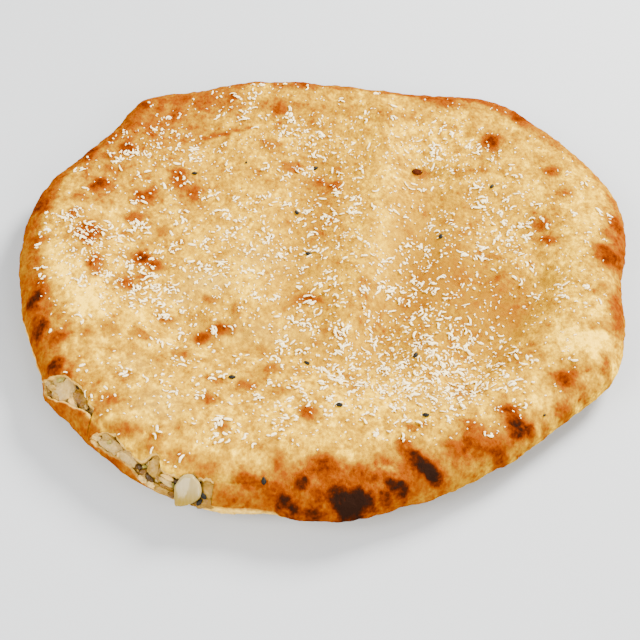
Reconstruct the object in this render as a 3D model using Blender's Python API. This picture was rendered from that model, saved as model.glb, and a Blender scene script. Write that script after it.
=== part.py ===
"""A stuffed naan: a round leavened flat bread, sealed round a flat layer of filling.

The seam has come open along the near left rim, so the filling shows there between the top sheet of
dough and the lip of the bottom sheet. Desiccated coconut and nigella seeds lie on the top.

Lengths below are in millimetres and angles in degrees, counted from +X towards +Y, seen from above.
The objects are in metres, +Z up, standing on Z = 0 at the middle of the bread's underside.
"""

import math
import random

import bmesh
import bpy
from mathutils import Matrix, Vector, noise
from mathutils.bvhtree import BVHTree

MM = 0.001

# The bread's plan: a circle, with swellings and flats of the rim as (angle, half width, rise).
BREAD_RADIUS = 129.7
RIM_SWELLINGS = {
    "right dimple": (0.0, 7.0, -2.9),
    "right shoulder": (18.0, 9.0, 3.6),
    "far right corner": (37.5, 27.0, 15.4),
    "point of the far right corner": (56.5, 8.0, 7.2),
    "far flat": (82.0, 18.0, -5.0),
    "far left shoulder": (115.0, 12.0, 2.5),
    "far left corner": (133.0, 8.5, 10.0),
    "left side": (168.0, 20.0, 5.0),
    "lip corner": (218.5, 4.5, 3.6),
    "near left side": (242.0, 18.0, 3.4),
    "end of the open seam": (263.0, 4.5, -2.8),
    "near right flat": (300.0, 24.0, -9.5),
    "near right bump": (295.0, 8.0, 2.2),
    "near right dip": (322.0, 6.0, -2.4),
    "near right corner": (339.0, 7.0, 2.4),
}
RIM_WOBBLE = 0.9
RIM_WOBBLE_LENGTH = 16.0

# Its section: a flat foot, an underside that lifts to the rim, and a round rim.
FOOT_SHARE = 0.50
RIM_LIFT = 5.5
RIM_MIDDLE = 4.6
RIM_SWAY = 0.6
RIM_SWAY_START = 40.0
RIM_WIDTH = 13.0
RIM_SQUARENESS = 2.2
MIDDLE_THICKNESS = 11.6
RING_THICKNESS = 13.4
RING_SHARES = (0.5, 0.82)
LEAST_THICKNESS = 7.0
LEAST_THICKNESS_SOFTNESS = 0.9
TOP_LUMP = 0.8
TOP_LUMP_LENGTH = 24.0

# Soft ridges and troughs of the top: plan points from end to end, half width, height.
FOLDS = {
    "left trough": ([(-8, 62), (-14, 27), (-14, -4), (-14, -40)], 12.0, -2.4),
    "right trough": ([(45, 64), (42, 20), (35, -8), (24, -40)], 10.0, -4.8),
    "deep dent": ([(92, -4), (81, -20), (66, -43), (60, -58)], 8.5, -7.0),
    "cross crease": ([(-62, -44), (-30, -48), (22, -60)], 7.5, -1.8),
    "middle ridge": ([(24, 98), (23, 43), (18, 8), (12, -26)], 9.5, 2.6),
    "tongue between the dents": ([(84, 4), (72, -14), (56, -34), (42, -48)], 7.0, 2.6),
    "near pillow": ([(-62, -84), (-15, -88), (30, -86), (56, -88)], 17.0, 2.4),
    "left bank": ([(-112, 12), (-103, -18), (-92, -42)], 12.0, 2.0),
    "right bank": ([(112, 28), (114, -8), (106, -42)], 15.0, 2.6),
}

# The sheets of dough, the gap to what they hold, and the pocket's distance from the rim.
TOP_SHEET = 2.3
BOTTOM_SHEET = 2.5
GAP = 0.3
POCKET_INSET = 13.0
OPEN_POCKET_INSET = 5.5
OPEN_SEAM = (213.0, 253.0)
OPEN_SEAM_EASE = 3.0
POCKET_RIM_WIDTH = 7.0
POCKET_SMOOTHING = 8.0

# Mouths, where the top sheet has drawn back from the lip of the bottom sheet:
# (first angle, last angle, how far back, then the heights of its lip and of its floor from the
# rim's outermost line).
MOUTHS = {
    "first mouth": (213.5, 229.0, 13.5, 3.0, -1.0),
    "second mouth": (229.8, 250.0, 9.5, 1.6, -1.0),
    "mouth at the onion": (242.4, 255.0, 11.6, -0.9, -1.9),
}
MOUTH_RAGGEDNESS = 1.3
MOUTH_RAG_ANGLE = 1.1
MOUTH_STEP = 1.0
LIP_CREST_INSET = 1.7
LIP_FOOT_INSET = 3.4
LEAST_FOOT = 0.3
LEAST_CREST = 0.6
CUT_OUTWARDS = 8.0
CUT_TOP = 40.0

# Filling that swells out of the mouths: its height below the torn edge, its clearance from it, its
# unevenness, and the least room that it needs from the torn edge to the lip, and above the lip.
BULGE_DROP = 0.9
BULGE_CLEARANCE = 0.5
BULGE_UNEVENNESS = 0.7
BULGE_BUMP_ANGLE = 1.8
BULGE_LEAST_DEPTH = 1.6
BULGE_LEAST_RISE = 1.2
BULGE_STEPS = 5
BULGE_START = 0.25

# Lumps on it: (number, smallest radius, largest radius), height as a share of the width, how far
# they sink in as a share of the radius, the unevenness of their corners, the widest one's share.
LUMPS = (20, 1.2, 2.4)
LUMP_FLATNESS = 0.7
LUMP_SINK = 0.3
LUMP_UNEVENNESS = (0.85, 1.15)
LUMP_SPREAD = 1.6

# The slice of onion that stands in its mouth: size outwards, along the rim and upwards, and how
# much its lower half is drawn in and bent inwards, as a petal is.
ONION_ANGLE = 249.5
ONION_BACK_FROM_RIM = 2.8
ONION_LIFT = 0.7
ONION_SIZE = (6.6, 10.4, 10.0)
ONION_TILT = -26.0
ONION_DRAWN_IN = 0.25
ONION_BEND = 0.10

# Coconut: (number of shreds, shortest, longest, thickness), how far out it lies as a share of the
# radius, the room between shreds, and its drifts as (x, y, half width, weight).
COCONUT = (116, 3.0, 5.6, 1.25)
COCONUT_REACH = 0.88
COCONUT_APART = 6.2
COCONUT_DRIFTS = [
    (44, -70, 15, 7),
    (66, -62, 13, 3),
    (-88, -8, 15, 3),
    (-82, 22, 22, 2),
    (-40, 70, 20, 2),
    (0, 80, 22, 2),
    (48, 68, 20, 3),
    (84, 34, 18, 3),
    (92, -6, 16, 2),
    (-46, -30, 22, 3),
    (-10, -4, 26, 3),
    (20, 20, 24, 2),
    (70, 4, 22, 2),
    (10, -40, 26, 2),
    (-52, -72, 24, 2),
    (-10, -92, 22, 1),
    (34, -88, 18, 2),
]
DRIFT_SPREAD = 0.8
SEED_LENGTH = 3.0
SEED_THICKNESS = 1.7
TOPPING_SINK = 0.12
SEEDS = [
    (-64, 50),
    (-8, 61),
    (75, 57),
    (51, 19),
    (-14, 30),
    (-7, 3),
    (-4, -57),
    (9, -78),
    (42, -79),
    (39, -50),
    (-33, -67),
    (88, -73),
    (-17, -112),
]

# How finely the solids are divided: squares across the top, rings round the rim, and rings of the
# underside as shares of the radius, in to the flat foot.
TOP_SQUARES = 34
TOP_RIM_RINGS = 5
UNDERSIDE_RINGS = (0.985, 0.945, 0.87, 0.74, FOOT_SHARE)
POCKET_SQUARES = 20
POCKET_RIM_RINGS = 3
POCKET_FLOOR_RINGS = (0.975, 0.85, FOOT_SHARE)
RANDOM_SEED = 11


def smooth_step(low, high, value):
    """0 below low, 1 above high, with a smooth rise between."""
    share = min(1.0, max(0.0, (value - low) / (high - low)))
    return share * share * (3 - 2 * share)


def swelling(distance, half_width):
    """1 at no distance, falling away smoothly as a bell."""
    return math.exp(-((distance / half_width) ** 2))


def angle_between(first, second):
    """The turn from one angle to the other, between -180 and 180 degrees."""
    return (first - second + 180.0) % 360.0 - 180.0


def soft_floor(value, softness):
    """The value where it is well above 0, levelling off smoothly to 0 below it."""
    return softness * math.log(1.0 + math.exp(value / softness))


def outline_radius(angle):
    """Plan radius of the bread's rim at an angle."""
    radius = BREAD_RADIUS
    for middle, half_width, rise in RIM_SWELLINGS.values():
        radius += rise * swelling(angle_between(angle, middle), half_width)
    at = Vector((*plan_point(angle, BREAD_RADIUS), 0.3 * BREAD_RADIUS))
    return radius + RIM_WOBBLE * noise.noise(at / RIM_WOBBLE_LENGTH)


def distance_to_path(x, y, path):
    """Plan distance from a point to a line of points."""
    nearest = math.inf
    for (ax, ay), (bx, by) in zip(path, path[1:]):
        dx, dy = bx - ax, by - ay
        share = ((x - ax) * dx + (y - ay) * dy) / (dx * dx + dy * dy)
        share = min(1.0, max(0.0, share))
        nearest = min(nearest, math.hypot(x - ax - share * dx, y - ay - share * dy))
    return nearest


def fold_height(x, y):
    """How far the ridges and troughs raise the top at a plan point."""
    height = 0.0
    for path, half_width, rise in FOLDS.values():
        height += rise * swelling(distance_to_path(x, y, path), half_width)
    return height


def rim_middle(angle):
    """Height of the rim's outermost line."""
    sway = RIM_SWAY * math.sin(math.radians(2 * angle + RIM_SWAY_START))
    return RIM_LIFT + RIM_MIDDLE + sway


def rim_fullness(share_of_radius, radius):
    """1 inside the rim, falling to 0 at the outline as a quarter round does."""
    inner = 1.0 - RIM_WIDTH / radius
    across = max(0.0, (share_of_radius - inner) / (1.0 - inner))
    return math.sqrt(max(0.0, 1.0 - across**RIM_SQUARENESS))


def polar(x, y):
    """(angle, outline radius there, share of that radius) of a plan point."""
    angle = math.degrees(math.atan2(y, x)) % 360.0
    radius = outline_radius(angle)
    return angle, radius, math.hypot(x, y) / radius


def sheet_heights(x, y):
    """(bottom, top) heights of the bread at a plan point, before the rim rounds them off."""
    _, _, share = polar(x, y)
    bottom = RIM_LIFT * smooth_step(FOOT_SHARE, 1.0, share)
    ring = smooth_step(*RING_SHARES, share)
    thickness = MIDDLE_THICKNESS + (RING_THICKNESS - MIDDLE_THICKNESS) * ring
    lump = TOP_LUMP * noise.noise(Vector((x, y, 7.0)) / TOP_LUMP_LENGTH)
    spare = thickness + lump + fold_height(x, y) - LEAST_THICKNESS
    return bottom, bottom + LEAST_THICKNESS + soft_floor(spare, LEAST_THICKNESS_SOFTNESS)


def bottom_height(x, y):
    """Height of the underside at a plan point."""
    angle, radius, share = polar(x, y)
    middle = rim_middle(angle)
    return middle + (sheet_heights(x, y)[0] - middle) * rim_fullness(share, radius)


def top_height(x, y):
    """Height of the top at a plan point."""
    angle, radius, share = polar(x, y)
    middle = rim_middle(angle)
    return middle + (sheet_heights(x, y)[1] - middle) * rim_fullness(share, radius)


def pocket_reach(angle):
    """Plan radius of the pocket: further out where the seam is open."""
    first, last = OPEN_SEAM
    opened = smooth_step(first - OPEN_SEAM_EASE, first + OPEN_SEAM_EASE, angle)
    closed = smooth_step(last - OPEN_SEAM_EASE, last + OPEN_SEAM_EASE, angle)
    inset = POCKET_INSET + (OPEN_POCKET_INSET - POCKET_INSET) * opened * (1.0 - closed)
    return outline_radius(angle) - inset


def drawn_back(angle, mouth):
    """How far a mouth's torn edge lies inside the rim at an angle."""
    first, last, depth = mouth[:3]
    if not first < angle < last:
        return -1.0
    across = math.sin(math.pi * (angle - first) / (last - first))
    ragged = noise.noise(Vector((angle / MOUTH_RAG_ANGLE, depth, 0.0)))
    return depth * math.sqrt(across) + MOUTH_RAGGEDNESS * ragged - 1.0


def mouth_angles(mouth):
    """The angles at which a mouth is worked out."""
    first, last = mouth[:2]
    steps = round((last - first) / MOUTH_STEP)
    return [first + (last - first) * step / steps for step in range(steps + 1)]


def plan_point(angle, radius):
    """The plan point at an angle and a radius."""
    return radius * math.cos(math.radians(angle)), radius * math.sin(math.radians(angle))


def square_to_disc(a, b):
    """(share of the radius, angle) of a point of a square with sides from -1 to 1."""
    if a == 0 and b == 0:
        return 0.0, 0.0
    if abs(a) > abs(b):
        return abs(a), (45.0 * b / a + (180.0 if a < 0 else 0.0)) % 360.0
    return abs(b), (90.0 - 45.0 * a / b + (180.0 if b < 0 else 0.0)) % 360.0


def cushion(name, squares, rim_rings, reach, rim_width, high, low, under_rings, shrink=0.0):
    """A closed solid out to a plan radius: a grid on top, rings round its rim and below, a flat foot."""
    mesh = bmesh.new()

    def corner(angle, out, height, inwards):
        x, y = plan_point(angle, out)
        nearer = 1.0 - shrink / reach(angle)
        return mesh.verts.new(Vector((x * nearer, y * nearer, height(x, y) + inwards * shrink)) * MM)

    grid = {}
    for row in range(squares + 1):
        for column in range(squares + 1):
            share, angle = square_to_disc(2 * column / squares - 1, 2 * row / squares - 1)
            grid[column, row] = corner(angle, (reach(angle) - rim_width) * share, high, -1)
    for row in range(squares):
        for column in range(squares):
            corners = [(column, row), (column + 1, row), (column + 1, row + 1), (column, row + 1)]
            mesh.faces.new([grid[corner] for corner in corners])
    last = squares
    border = [(last, row) for row in range(last)] + [(column, last) for column in range(last, 0, -1)]
    border += [(0, row) for row in range(last, 0, -1)] + [(column, 0) for column in range(last)]
    ring = [grid[corner] for corner in border]
    angles = [math.degrees(math.atan2(vertex.co.y, vertex.co.x)) % 360.0 for vertex in ring]
    turns = [step / rim_rings * math.pi / 2 for step in range(1, rim_rings + 1)]
    levels = [(1.0, rim_width * (1 - math.sin(turn)), high, -1) for turn in turns]
    levels += [(share, 0.0, low, 1) for share in under_rings]
    for share, inset, height, inwards in levels:
        next_ring = [corner(angle, reach(angle) * share - inset, height, inwards) for angle in angles]
        for index, vertex in enumerate(ring):
            following = (index + 1) % len(ring)
            mesh.faces.new([vertex, next_ring[index], next_ring[following], ring[following]])
        ring = next_ring
    mesh.faces.new(ring)
    bmesh.ops.triangulate(mesh, faces=mesh.faces)
    return finish_mesh(name, mesh)


def finish_mesh(name, mesh):
    """Turns a bmesh into an object with its faces pointing out."""
    bmesh.ops.recalc_face_normals(mesh, faces=mesh.faces)
    data = bpy.data.meshes.new(name)
    mesh.to_mesh(data)
    mesh.free()
    made = bpy.data.objects.new(name, data)
    bpy.context.scene.collection.objects.link(made)
    return made


def bread_skin():
    """The bread's outside, with a flat foot."""
    return cushion(
        "bread",
        TOP_SQUARES,
        TOP_RIM_RINGS,
        outline_radius,
        RIM_WIDTH,
        top_height,
        bottom_height,
        UNDERSIDE_RINGS,
    )


def pocket(name, gap):
    """The room between the sheets of dough, made smaller all round by a gap."""
    around = [(0, 0)] + [plan_point(angle, POCKET_SMOOTHING) for angle in range(0, 360, 45)]

    def centre(x, y):
        bottom, top = sheet_heights(x, y)
        return (bottom + BOTTOM_SHEET + top - TOP_SHEET) / 2

    def fullness(x, y):
        angle = math.degrees(math.atan2(y, x)) % 360.0
        across = (math.hypot(x, y) - pocket_reach(angle) + POCKET_RIM_WIDTH) / POCKET_RIM_WIDTH
        return math.sqrt(max(0.0, 1.0 - max(0.0, across) ** 2))

    def ceiling(x, y):
        middle = centre(x, y)
        lowest = min(sheet_heights(x + dx, y + dy)[1] for dx, dy in around)
        fall = sheet_heights(x, y)[1] - lowest
        return middle + (top_height(x, y) - fall - TOP_SHEET - middle) * fullness(x, y)

    def floor(x, y):
        middle = centre(x, y)
        return middle + (bottom_height(x, y) + BOTTOM_SHEET - middle) * fullness(x, y)

    return cushion(
        name,
        POCKET_SQUARES,
        POCKET_RIM_RINGS,
        pocket_reach,
        POCKET_RIM_WIDTH,
        ceiling,
        floor,
        POCKET_FLOOR_RINGS,
        gap,
    )


def mouth_section(angle, mouth):
    """The cut that a mouth makes at an angle, as (radius, height) corners from its floor round."""
    radius = outline_radius(angle)
    edge = radius - drawn_back(angle, mouth)
    foot = max(radius - LIP_FOOT_INSET, edge + LEAST_FOOT)
    crest = max(radius - LIP_CREST_INSET, edge + LEAST_CREST)
    lip, floor = (rim_middle(angle) + height for height in mouth[3:])
    out = radius + CUT_OUTWARDS
    return [(edge, floor), (foot, floor), (crest, lip), (out, lip), (out, CUT_TOP), (edge, CUT_TOP)]


def bulge_section(angle, mouth):
    """The filling that swells out of a mouth at an angle, clear of the cut's sides."""
    (edge, floor), (foot, _), (crest, lip) = mouth_section(angle, mouth)[:3]
    inner = edge + BULGE_CLEARANCE
    ceiling = top_height(*plan_point(angle, edge)) - BULGE_DROP
    if foot - GAP - inner < BULGE_LEAST_DEPTH or ceiling - lip < BULGE_LEAST_RISE:
        return None
    across = [(inner, floor + GAP), (foot - GAP, floor + GAP), (crest - GAP, lip + GAP)]
    for step in range(BULGE_STEPS + 1):
        share = step / BULGE_STEPS
        out = crest - 2 * GAP + (inner - crest + 2 * GAP) * share
        rise = math.sin(min(1.0, BULGE_START + share) * math.pi / 2)
        bump = BULGE_UNEVENNESS * noise.noise(Vector((angle / BULGE_BUMP_ANGLE, 1.6 * share, mouth[2])))
        across.append((out, lip + 2 * GAP + (ceiling - lip - 2 * GAP + bump) * rise))
    return across


def loft(name, sections):
    """A closed solid through sections, each an (angle, corners as radius and height)."""
    mesh = bmesh.new()
    rows = []
    for angle, corners in sections:
        points = [(*plan_point(angle, radius), height) for radius, height in corners]
        rows.append([mesh.verts.new(Vector(point) * MM) for point in points])
    for near, far in zip(rows, rows[1:]):
        for side in range(len(near)):
            other = (side + 1) % len(near)
            mesh.faces.new([near[side], near[other], far[other], far[side]])
    mesh.faces.new(rows[0])
    mesh.faces.new(list(reversed(rows[-1])))
    return finish_mesh(name, mesh)


def mouth_cutter(name, mouth):
    """What a mouth takes away from the bread."""
    return loft(name, [(angle, mouth_section(angle, mouth)) for angle in mouth_angles(mouth)])


def bulge(name, mouth):
    """What swells out of a mouth."""
    sections = [(angle, bulge_section(angle, mouth)) for angle in mouth_angles(mouth)]
    return loft(name, [(angle, section) for angle, section in sections if section])


def shred(name, surface, place, length, thickness, turn):
    """One shred of coconut, or a seed: a thin tapered bar, lying half sunk in the top."""
    mesh = bmesh.new()
    bmesh.ops.create_cone(
        mesh, cap_ends=True, segments=4, radius1=thickness / 2, radius2=thickness / 3, depth=length
    )
    above = Vector((place[0] * MM, place[1] * MM, 1.0))
    middle, normal, _, _ = surface.ray_cast(above, Vector((0, 0, -1)))
    along = Vector((math.cos(turn), math.sin(turn), 0))
    along = (along - normal * along.dot(normal)).normalized()
    axes = Matrix((normal.cross(along), normal, along)).transposed().to_4x4()
    sunk = middle - normal * (TOPPING_SINK * thickness * MM)
    matrix = Matrix.Translation(sunk) @ axes @ Matrix.Scale(MM, 4)
    bmesh.ops.transform(mesh, matrix=matrix, verts=mesh.verts)
    return finish_mesh(name, mesh)


def coconut_places(draw):
    """Seeded places of the shreds, as dense as the drifts are, and apart from each other."""
    count, shortest, longest, thickness = COCONUT
    weights = [weight for _, _, _, weight in COCONUT_DRIFTS]
    places = []
    while len(places) < count:
        x0, y0, spread, _ = draw.choices(COCONUT_DRIFTS, weights)[0]
        x, y = draw.gauss(x0, DRIFT_SPREAD * spread), draw.gauss(y0, DRIFT_SPREAD * spread)
        length = draw.uniform(shortest, longest)
        turn = draw.uniform(0, math.pi)
        taken = [place[:2] for place in places] + SEEDS
        apart = min(math.hypot(x - px, y - py) for px, py in taken)
        if polar(x, y)[2] < COCONUT_REACH and apart > COCONUT_APART:
            places.append((x, y, length, turn))
    return places


def toppings(skin):
    """The shreds and seeds, each lying on the bread's top."""
    draw = random.Random(RANDOM_SEED)
    surface = BVHTree.FromPolygons(
        [vertex.co for vertex in skin.data.vertices], [face.vertices for face in skin.data.polygons]
    )
    made = []
    for x, y, length, turn in coconut_places(draw):
        made.append(shred(f"shred_{len(made)}", surface, (x, y), length, COCONUT[3], turn))
    for place in SEEDS:
        turn = draw.uniform(0, math.pi)
        made.append(shred(f"seed_{len(made)}", surface, place, SEED_LENGTH, SEED_THICKNESS, turn))
    return made


def boolean(target, operation, others, solver="EXACT"):
    """Joins the others to the target, or cuts them from it, and removes them."""
    group = bpy.data.collections.new("joined shapes")
    bpy.context.scene.collection.children.link(group)
    for other in others:
        bpy.context.scene.collection.objects.unlink(other)
        group.objects.link(other)
    modifier = target.modifiers.new(operation, "BOOLEAN")
    modifier.operation = operation
    modifier.operand_type = "COLLECTION"
    modifier.collection = group
    modifier.solver = solver
    bpy.context.view_layer.objects.active = target
    bpy.ops.object.modifier_apply(modifier=modifier.name)
    for other in others:
        bpy.data.objects.remove(other)
    bpy.data.collections.remove(group)


def lump(name, place, size, draw):
    """A rounded lump of filling, flatter than it is wide."""
    mesh = bmesh.new()
    bmesh.ops.create_icosphere(mesh, subdivisions=1, radius=size)
    for vertex in mesh.verts:
        vertex.co *= draw.uniform(*LUMP_UNEVENNESS)
    stretch = draw.uniform(1.0, LUMP_SPREAD / LUMP_UNEVENNESS[1])
    shape = Matrix.Diagonal((stretch, 1.0, LUMP_FLATNESS, 1.0))
    turn = Matrix.Rotation(draw.uniform(0, math.pi), 4, "Z")
    matrix = Matrix.Scale(MM, 4) @ Matrix.Translation(place) @ turn @ shape
    bmesh.ops.transform(mesh, matrix=matrix, verts=mesh.verts)
    return finish_mesh(name, mesh)


def filling_lumps():
    """The lumps on the swollen filling, kept clear of the torn edge and of the lip."""
    draw = random.Random(RANDOM_SEED + 1)
    count, smallest, largest = LUMPS
    mouths = list(MOUTHS.values())
    made = []
    while len(made) < count:
        mouth = draw.choices(mouths, [mouth[1] - mouth[0] for mouth in mouths])[0]
        angle = draw.uniform(mouth[0] + MOUTH_STEP, mouth[1] - MOUTH_STEP)
        size = draw.uniform(smallest, largest)
        share = draw.uniform(0.0, 1.0)
        half_width = LUMP_SPREAD * size
        turn = math.degrees(half_width / BREAD_RADIUS) + MOUTH_STEP
        sections = [bulge_section(angle, mouth)]
        sections += [bulge_section(at, mouth) for at in mouth_angles(mouth) if abs(at - angle) < turn]
        if not all(sections):
            continue
        inner = max(section[0][0] for section in sections) + half_width
        outer = min(section[2][0] for section in sections) - size / 2
        if inner > outer:
            continue
        out = inner + (outer - inner) * share
        tops = sections[0][3:]
        height = min(tops, key=lambda point: abs(point[0] - out))[1]
        clear = sections[0][2][1] + LUMP_FLATNESS * LUMP_UNEVENNESS[1] * size
        place = (*plan_point(angle, out), max(height - LUMP_SINK * size, clear))
        made.append(lump(f"lump_{len(made)}", place, size, draw))
    return made


def onion_shape(name, growth):
    """The rounded slice of onion, standing in the mouth, grown on all sides by a gap."""
    mesh = bmesh.new()
    bmesh.ops.create_uvsphere(mesh, u_segments=16, v_segments=9, radius=0.5)
    size = [side + 2 * growth for side in ONION_SIZE]
    for vertex in mesh.verts:
        low = max(0.0, -vertex.co.z) * 2
        vertex.co.y *= 1.0 - ONION_DRAWN_IN * low
        vertex.co.x += ONION_BEND * low
    x, y = plan_point(ONION_ANGLE, outline_radius(ONION_ANGLE) - ONION_BACK_FROM_RIM)
    foot = rim_middle(ONION_ANGLE) + MOUTHS["mouth at the onion"][3] + ONION_LIFT
    place = Matrix.Translation((x, y, foot + ONION_SIZE[2] / 2))
    turn = Matrix.Rotation(math.radians(ONION_ANGLE), 4, "Z")
    tilt = Matrix.Rotation(math.radians(ONION_TILT), 4, "Y")
    matrix = Matrix.Scale(MM, 4) @ place @ turn @ tilt @ Matrix.Diagonal((*size, 1.0))
    bmesh.ops.transform(mesh, matrix=matrix, verts=mesh.verts)
    return finish_mesh(name, mesh)


def material(name, colour, roughness):
    """A plain finish for one node."""
    made = bpy.data.materials.new(name)
    made.use_nodes = True
    shader = made.node_tree.nodes["Principled BSDF"]
    shader.inputs["Base Color"].default_value = (*colour, 1.0)
    shader.inputs["Roughness"].default_value = roughness
    shader.inputs["Metallic"].default_value = 0.0
    return made


def bread():
    """The envelope of dough: skin, less the pocket and the mouths, with its toppings joined."""
    made = bread_skin()
    cutters = [pocket("pocket", 0.0)]
    cutters += [mouth_cutter(name, mouth) for name, mouth in MOUTHS.items()]
    boolean(made, "DIFFERENCE", cutters)
    boolean(made, "UNION", toppings(made), "MANIFOLD")
    made.data.materials.clear()
    made.data.materials.append(material("baked dough", (0.80, 0.60, 0.33), 0.6))
    return made


def filling():
    """The layer of filling, which runs through the bread, with the lumps that show."""
    made = pocket("filling", GAP)
    bulges = [bulge(name, mouth) for name, mouth in MOUTHS.items()]
    boolean(made, "UNION", bulges + filling_lumps(), "MANIFOLD")
    boolean(made, "DIFFERENCE", [onion_shape("room for the onion", GAP)])
    made.data.materials.clear()
    made.data.materials.append(material("pale filling", (0.78, 0.72, 0.52), 0.45))
    return made


def onion():
    """The slice of onion in the second mouth."""
    made = onion_shape("onion_slice", 0.0)
    made.data.materials.append(material("cooked onion", (0.80, 0.80, 0.60), 0.3))
    return made


def clear_scene():
    """Removes what the file opened with."""
    for old in list(bpy.data.objects):
        bpy.data.objects.remove(old)


clear_scene()
bread()
filling()
onion()
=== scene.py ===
# A stuffed naan with coconut and nigella seeds on its top, and its near left seam come open.
# Lengths are in millimetres and angles in degrees, counted from +X towards +Y, until a mesh is made.
import math
import random

import bpy
import numpy as np
from mathutils import Matrix, Vector, noise
from mathutils.bvhtree import BVHTree


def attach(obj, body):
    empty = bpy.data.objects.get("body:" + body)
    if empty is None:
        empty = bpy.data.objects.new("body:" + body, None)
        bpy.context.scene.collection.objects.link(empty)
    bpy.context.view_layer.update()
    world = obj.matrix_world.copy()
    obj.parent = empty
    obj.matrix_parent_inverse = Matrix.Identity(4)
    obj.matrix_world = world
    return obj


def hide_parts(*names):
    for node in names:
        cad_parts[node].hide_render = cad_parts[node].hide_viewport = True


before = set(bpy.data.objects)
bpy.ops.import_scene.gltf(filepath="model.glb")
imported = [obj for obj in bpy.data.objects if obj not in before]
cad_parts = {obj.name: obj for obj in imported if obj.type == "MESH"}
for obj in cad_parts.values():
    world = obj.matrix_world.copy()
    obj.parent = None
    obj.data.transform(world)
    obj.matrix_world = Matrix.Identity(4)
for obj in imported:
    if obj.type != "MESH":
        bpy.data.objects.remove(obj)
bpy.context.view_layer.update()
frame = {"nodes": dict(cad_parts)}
mm = 0.001
print("frame loaded:", ", ".join(frame["nodes"]))

# The bread's shape, as in the solids.
breadShape = {
    "radius": 129.7,
    "swellings": [  # middle angle, half width, rise
        (0, 7, -2.9), (18, 9, 3.6), (37.5, 27, 15.4), (56.5, 8, 7.2), (82, 18, -5), (115, 12, 2.5),
        (133, 8.5, 10), (168, 20, 5), (218.5, 4.5, 3.6), (242, 18, 3.4), (263, 4.5, -2.8), (300, 24, -9.5),
        (295, 8, 2.2), (322, 6, -2.4), (339, 7, 2.4),
    ],
    "wobble": 0.9, "wobbleLength": 16,
    "footShare": 0.5, "rimLift": 5.5, "rimMiddle": 4.6, "rimSway": 0.6, "rimSwayStart": 40,
    "rimWidth": 13, "rimSquareness": 2.2,
    "middleThickness": 11.6, "ringThickness": 13.4, "ringShares": (0.5, 0.82),
    "leastThickness": 7, "leastSoftness": 0.9, "lump": 0.8, "lumpLength": 24,
    "folds": [  # plan points, half width, height
        ([(-8, 62), (-14, 27), (-14, -4), (-14, -40)], 12, -2.4),
        ([(45, 64), (42, 20), (35, -8), (24, -40)], 10, -4.8),
        ([(92, -4), (81, -20), (66, -43), (60, -58)], 8.5, -7),
        ([(-62, -44), (-30, -48), (22, -60)], 7.5, -1.8),
        ([(24, 98), (23, 43), (18, 8), (12, -26)], 9.5, 2.6),
        ([(84, 4), (72, -14), (56, -34), (42, -48)], 7, 2.6),
        ([(-62, -84), (-15, -88), (30, -86), (56, -88)], 17, 2.4),
        ([(-112, 12), (-103, -18), (-92, -42)], 12, 2), ([(112, 28), (114, -8), (106, -42)], 15, 2.6),
    ],
    "topSheet": 2, "bottomSheet": 2.5, "pocketInset": 13, "openPocketInset": 5.5,
    "openSeam": (213, 253), "openSeamEase": 3, "pocketRimWidth": 7, "pocketSmoothing": 8,
    "squares": 230, "rimRings": 15, "pocketSquares": 72,
    "underShares": (0.995, 0.985, 0.97, 0.95, 0.92, 0.88, 0.83, 0.77, 0.7, 0.62, 0.55, 0.5, 0.42,
                    0.33, 0.24, 0.15, 0.06),
}


def smoothStep(low, high, value):
    share = np.clip((value - low) / (high - low), 0.0, 1.0)
    return share * share * (3 - 2 * share)


# 1 between the middle two of four values, and 0 beyond the outer two.
def plateau(first, second, third, fourth, value):
    return smoothStep(first, second, value) * (1 - smoothStep(third, fourth, value))


def bell(distance, halfWidth):
    return np.exp(-((distance / halfWidth) ** 2))


def turnBetween(first, second):
    return (first - second + 180.0) % 360.0 - 180.0


# Smooth noise from about -1 to 1 at each point, with lumps of about that size. Where a fixed number
# stands for y or z, it only chooses a layer of the noise.
def noiseAt(x, y, z, size):
    across = np.broadcast_arrays(np.asarray(x, float), np.asarray(y, float), np.asarray(z, float))
    points = np.stack([one.ravel() / size for one in across], axis=1).tolist()
    return np.array([noise.noise(point) for point in points]).reshape(across[0].shape)


def planPoint(angle, radius):
    turn = np.radians(angle)
    return radius * np.cos(turn), radius * np.sin(turn)


def rimTable():
    angles = np.arange(0.0, 360.25, 0.25)
    radius = np.full(angles.shape, breadShape["radius"])
    for middle, halfWidth, rise in breadShape["swellings"]:
        radius += rise * bell(turnBetween(angles, middle), halfWidth)
    x, y = planPoint(angles, breadShape["radius"])
    radius += breadShape["wobble"] * noiseAt(x, y, 0.3 * breadShape["radius"], breadShape["wobbleLength"])
    return angles, radius


rimAngles, rimRadii = rimTable()


def outlineRadius(angle):
    return np.interp(np.asarray(angle) % 360.0, rimAngles, rimRadii)


def polarOf(x, y):
    angle = np.degrees(np.arctan2(y, x)) % 360.0
    radius = outlineRadius(angle)
    return angle, radius, np.hypot(x, y) / radius


def pathDistance(x, y, path):
    nearest = np.full(np.shape(x), np.inf)
    for (ax, ay), (bx, by) in zip(path, path[1:]):
        dx, dy = bx - ax, by - ay
        share = np.clip(((x - ax) * dx + (y - ay) * dy) / (dx * dx + dy * dy), 0.0, 1.0)
        nearest = np.minimum(nearest, np.hypot(x - ax - share * dx, y - ay - share * dy))
    return nearest


def rimMiddle(angle):
    sway = breadShape["rimSway"] * np.sin(np.radians(2 * angle + breadShape["rimSwayStart"]))
    return breadShape["rimLift"] + breadShape["rimMiddle"] + sway


def rimFullness(share, radius):
    inner = 1.0 - breadShape["rimWidth"] / radius
    across = np.clip((share - inner) / (1.0 - inner), 0.0, 1.0)
    return np.sqrt(1.0 - across ** breadShape["rimSquareness"])


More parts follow.
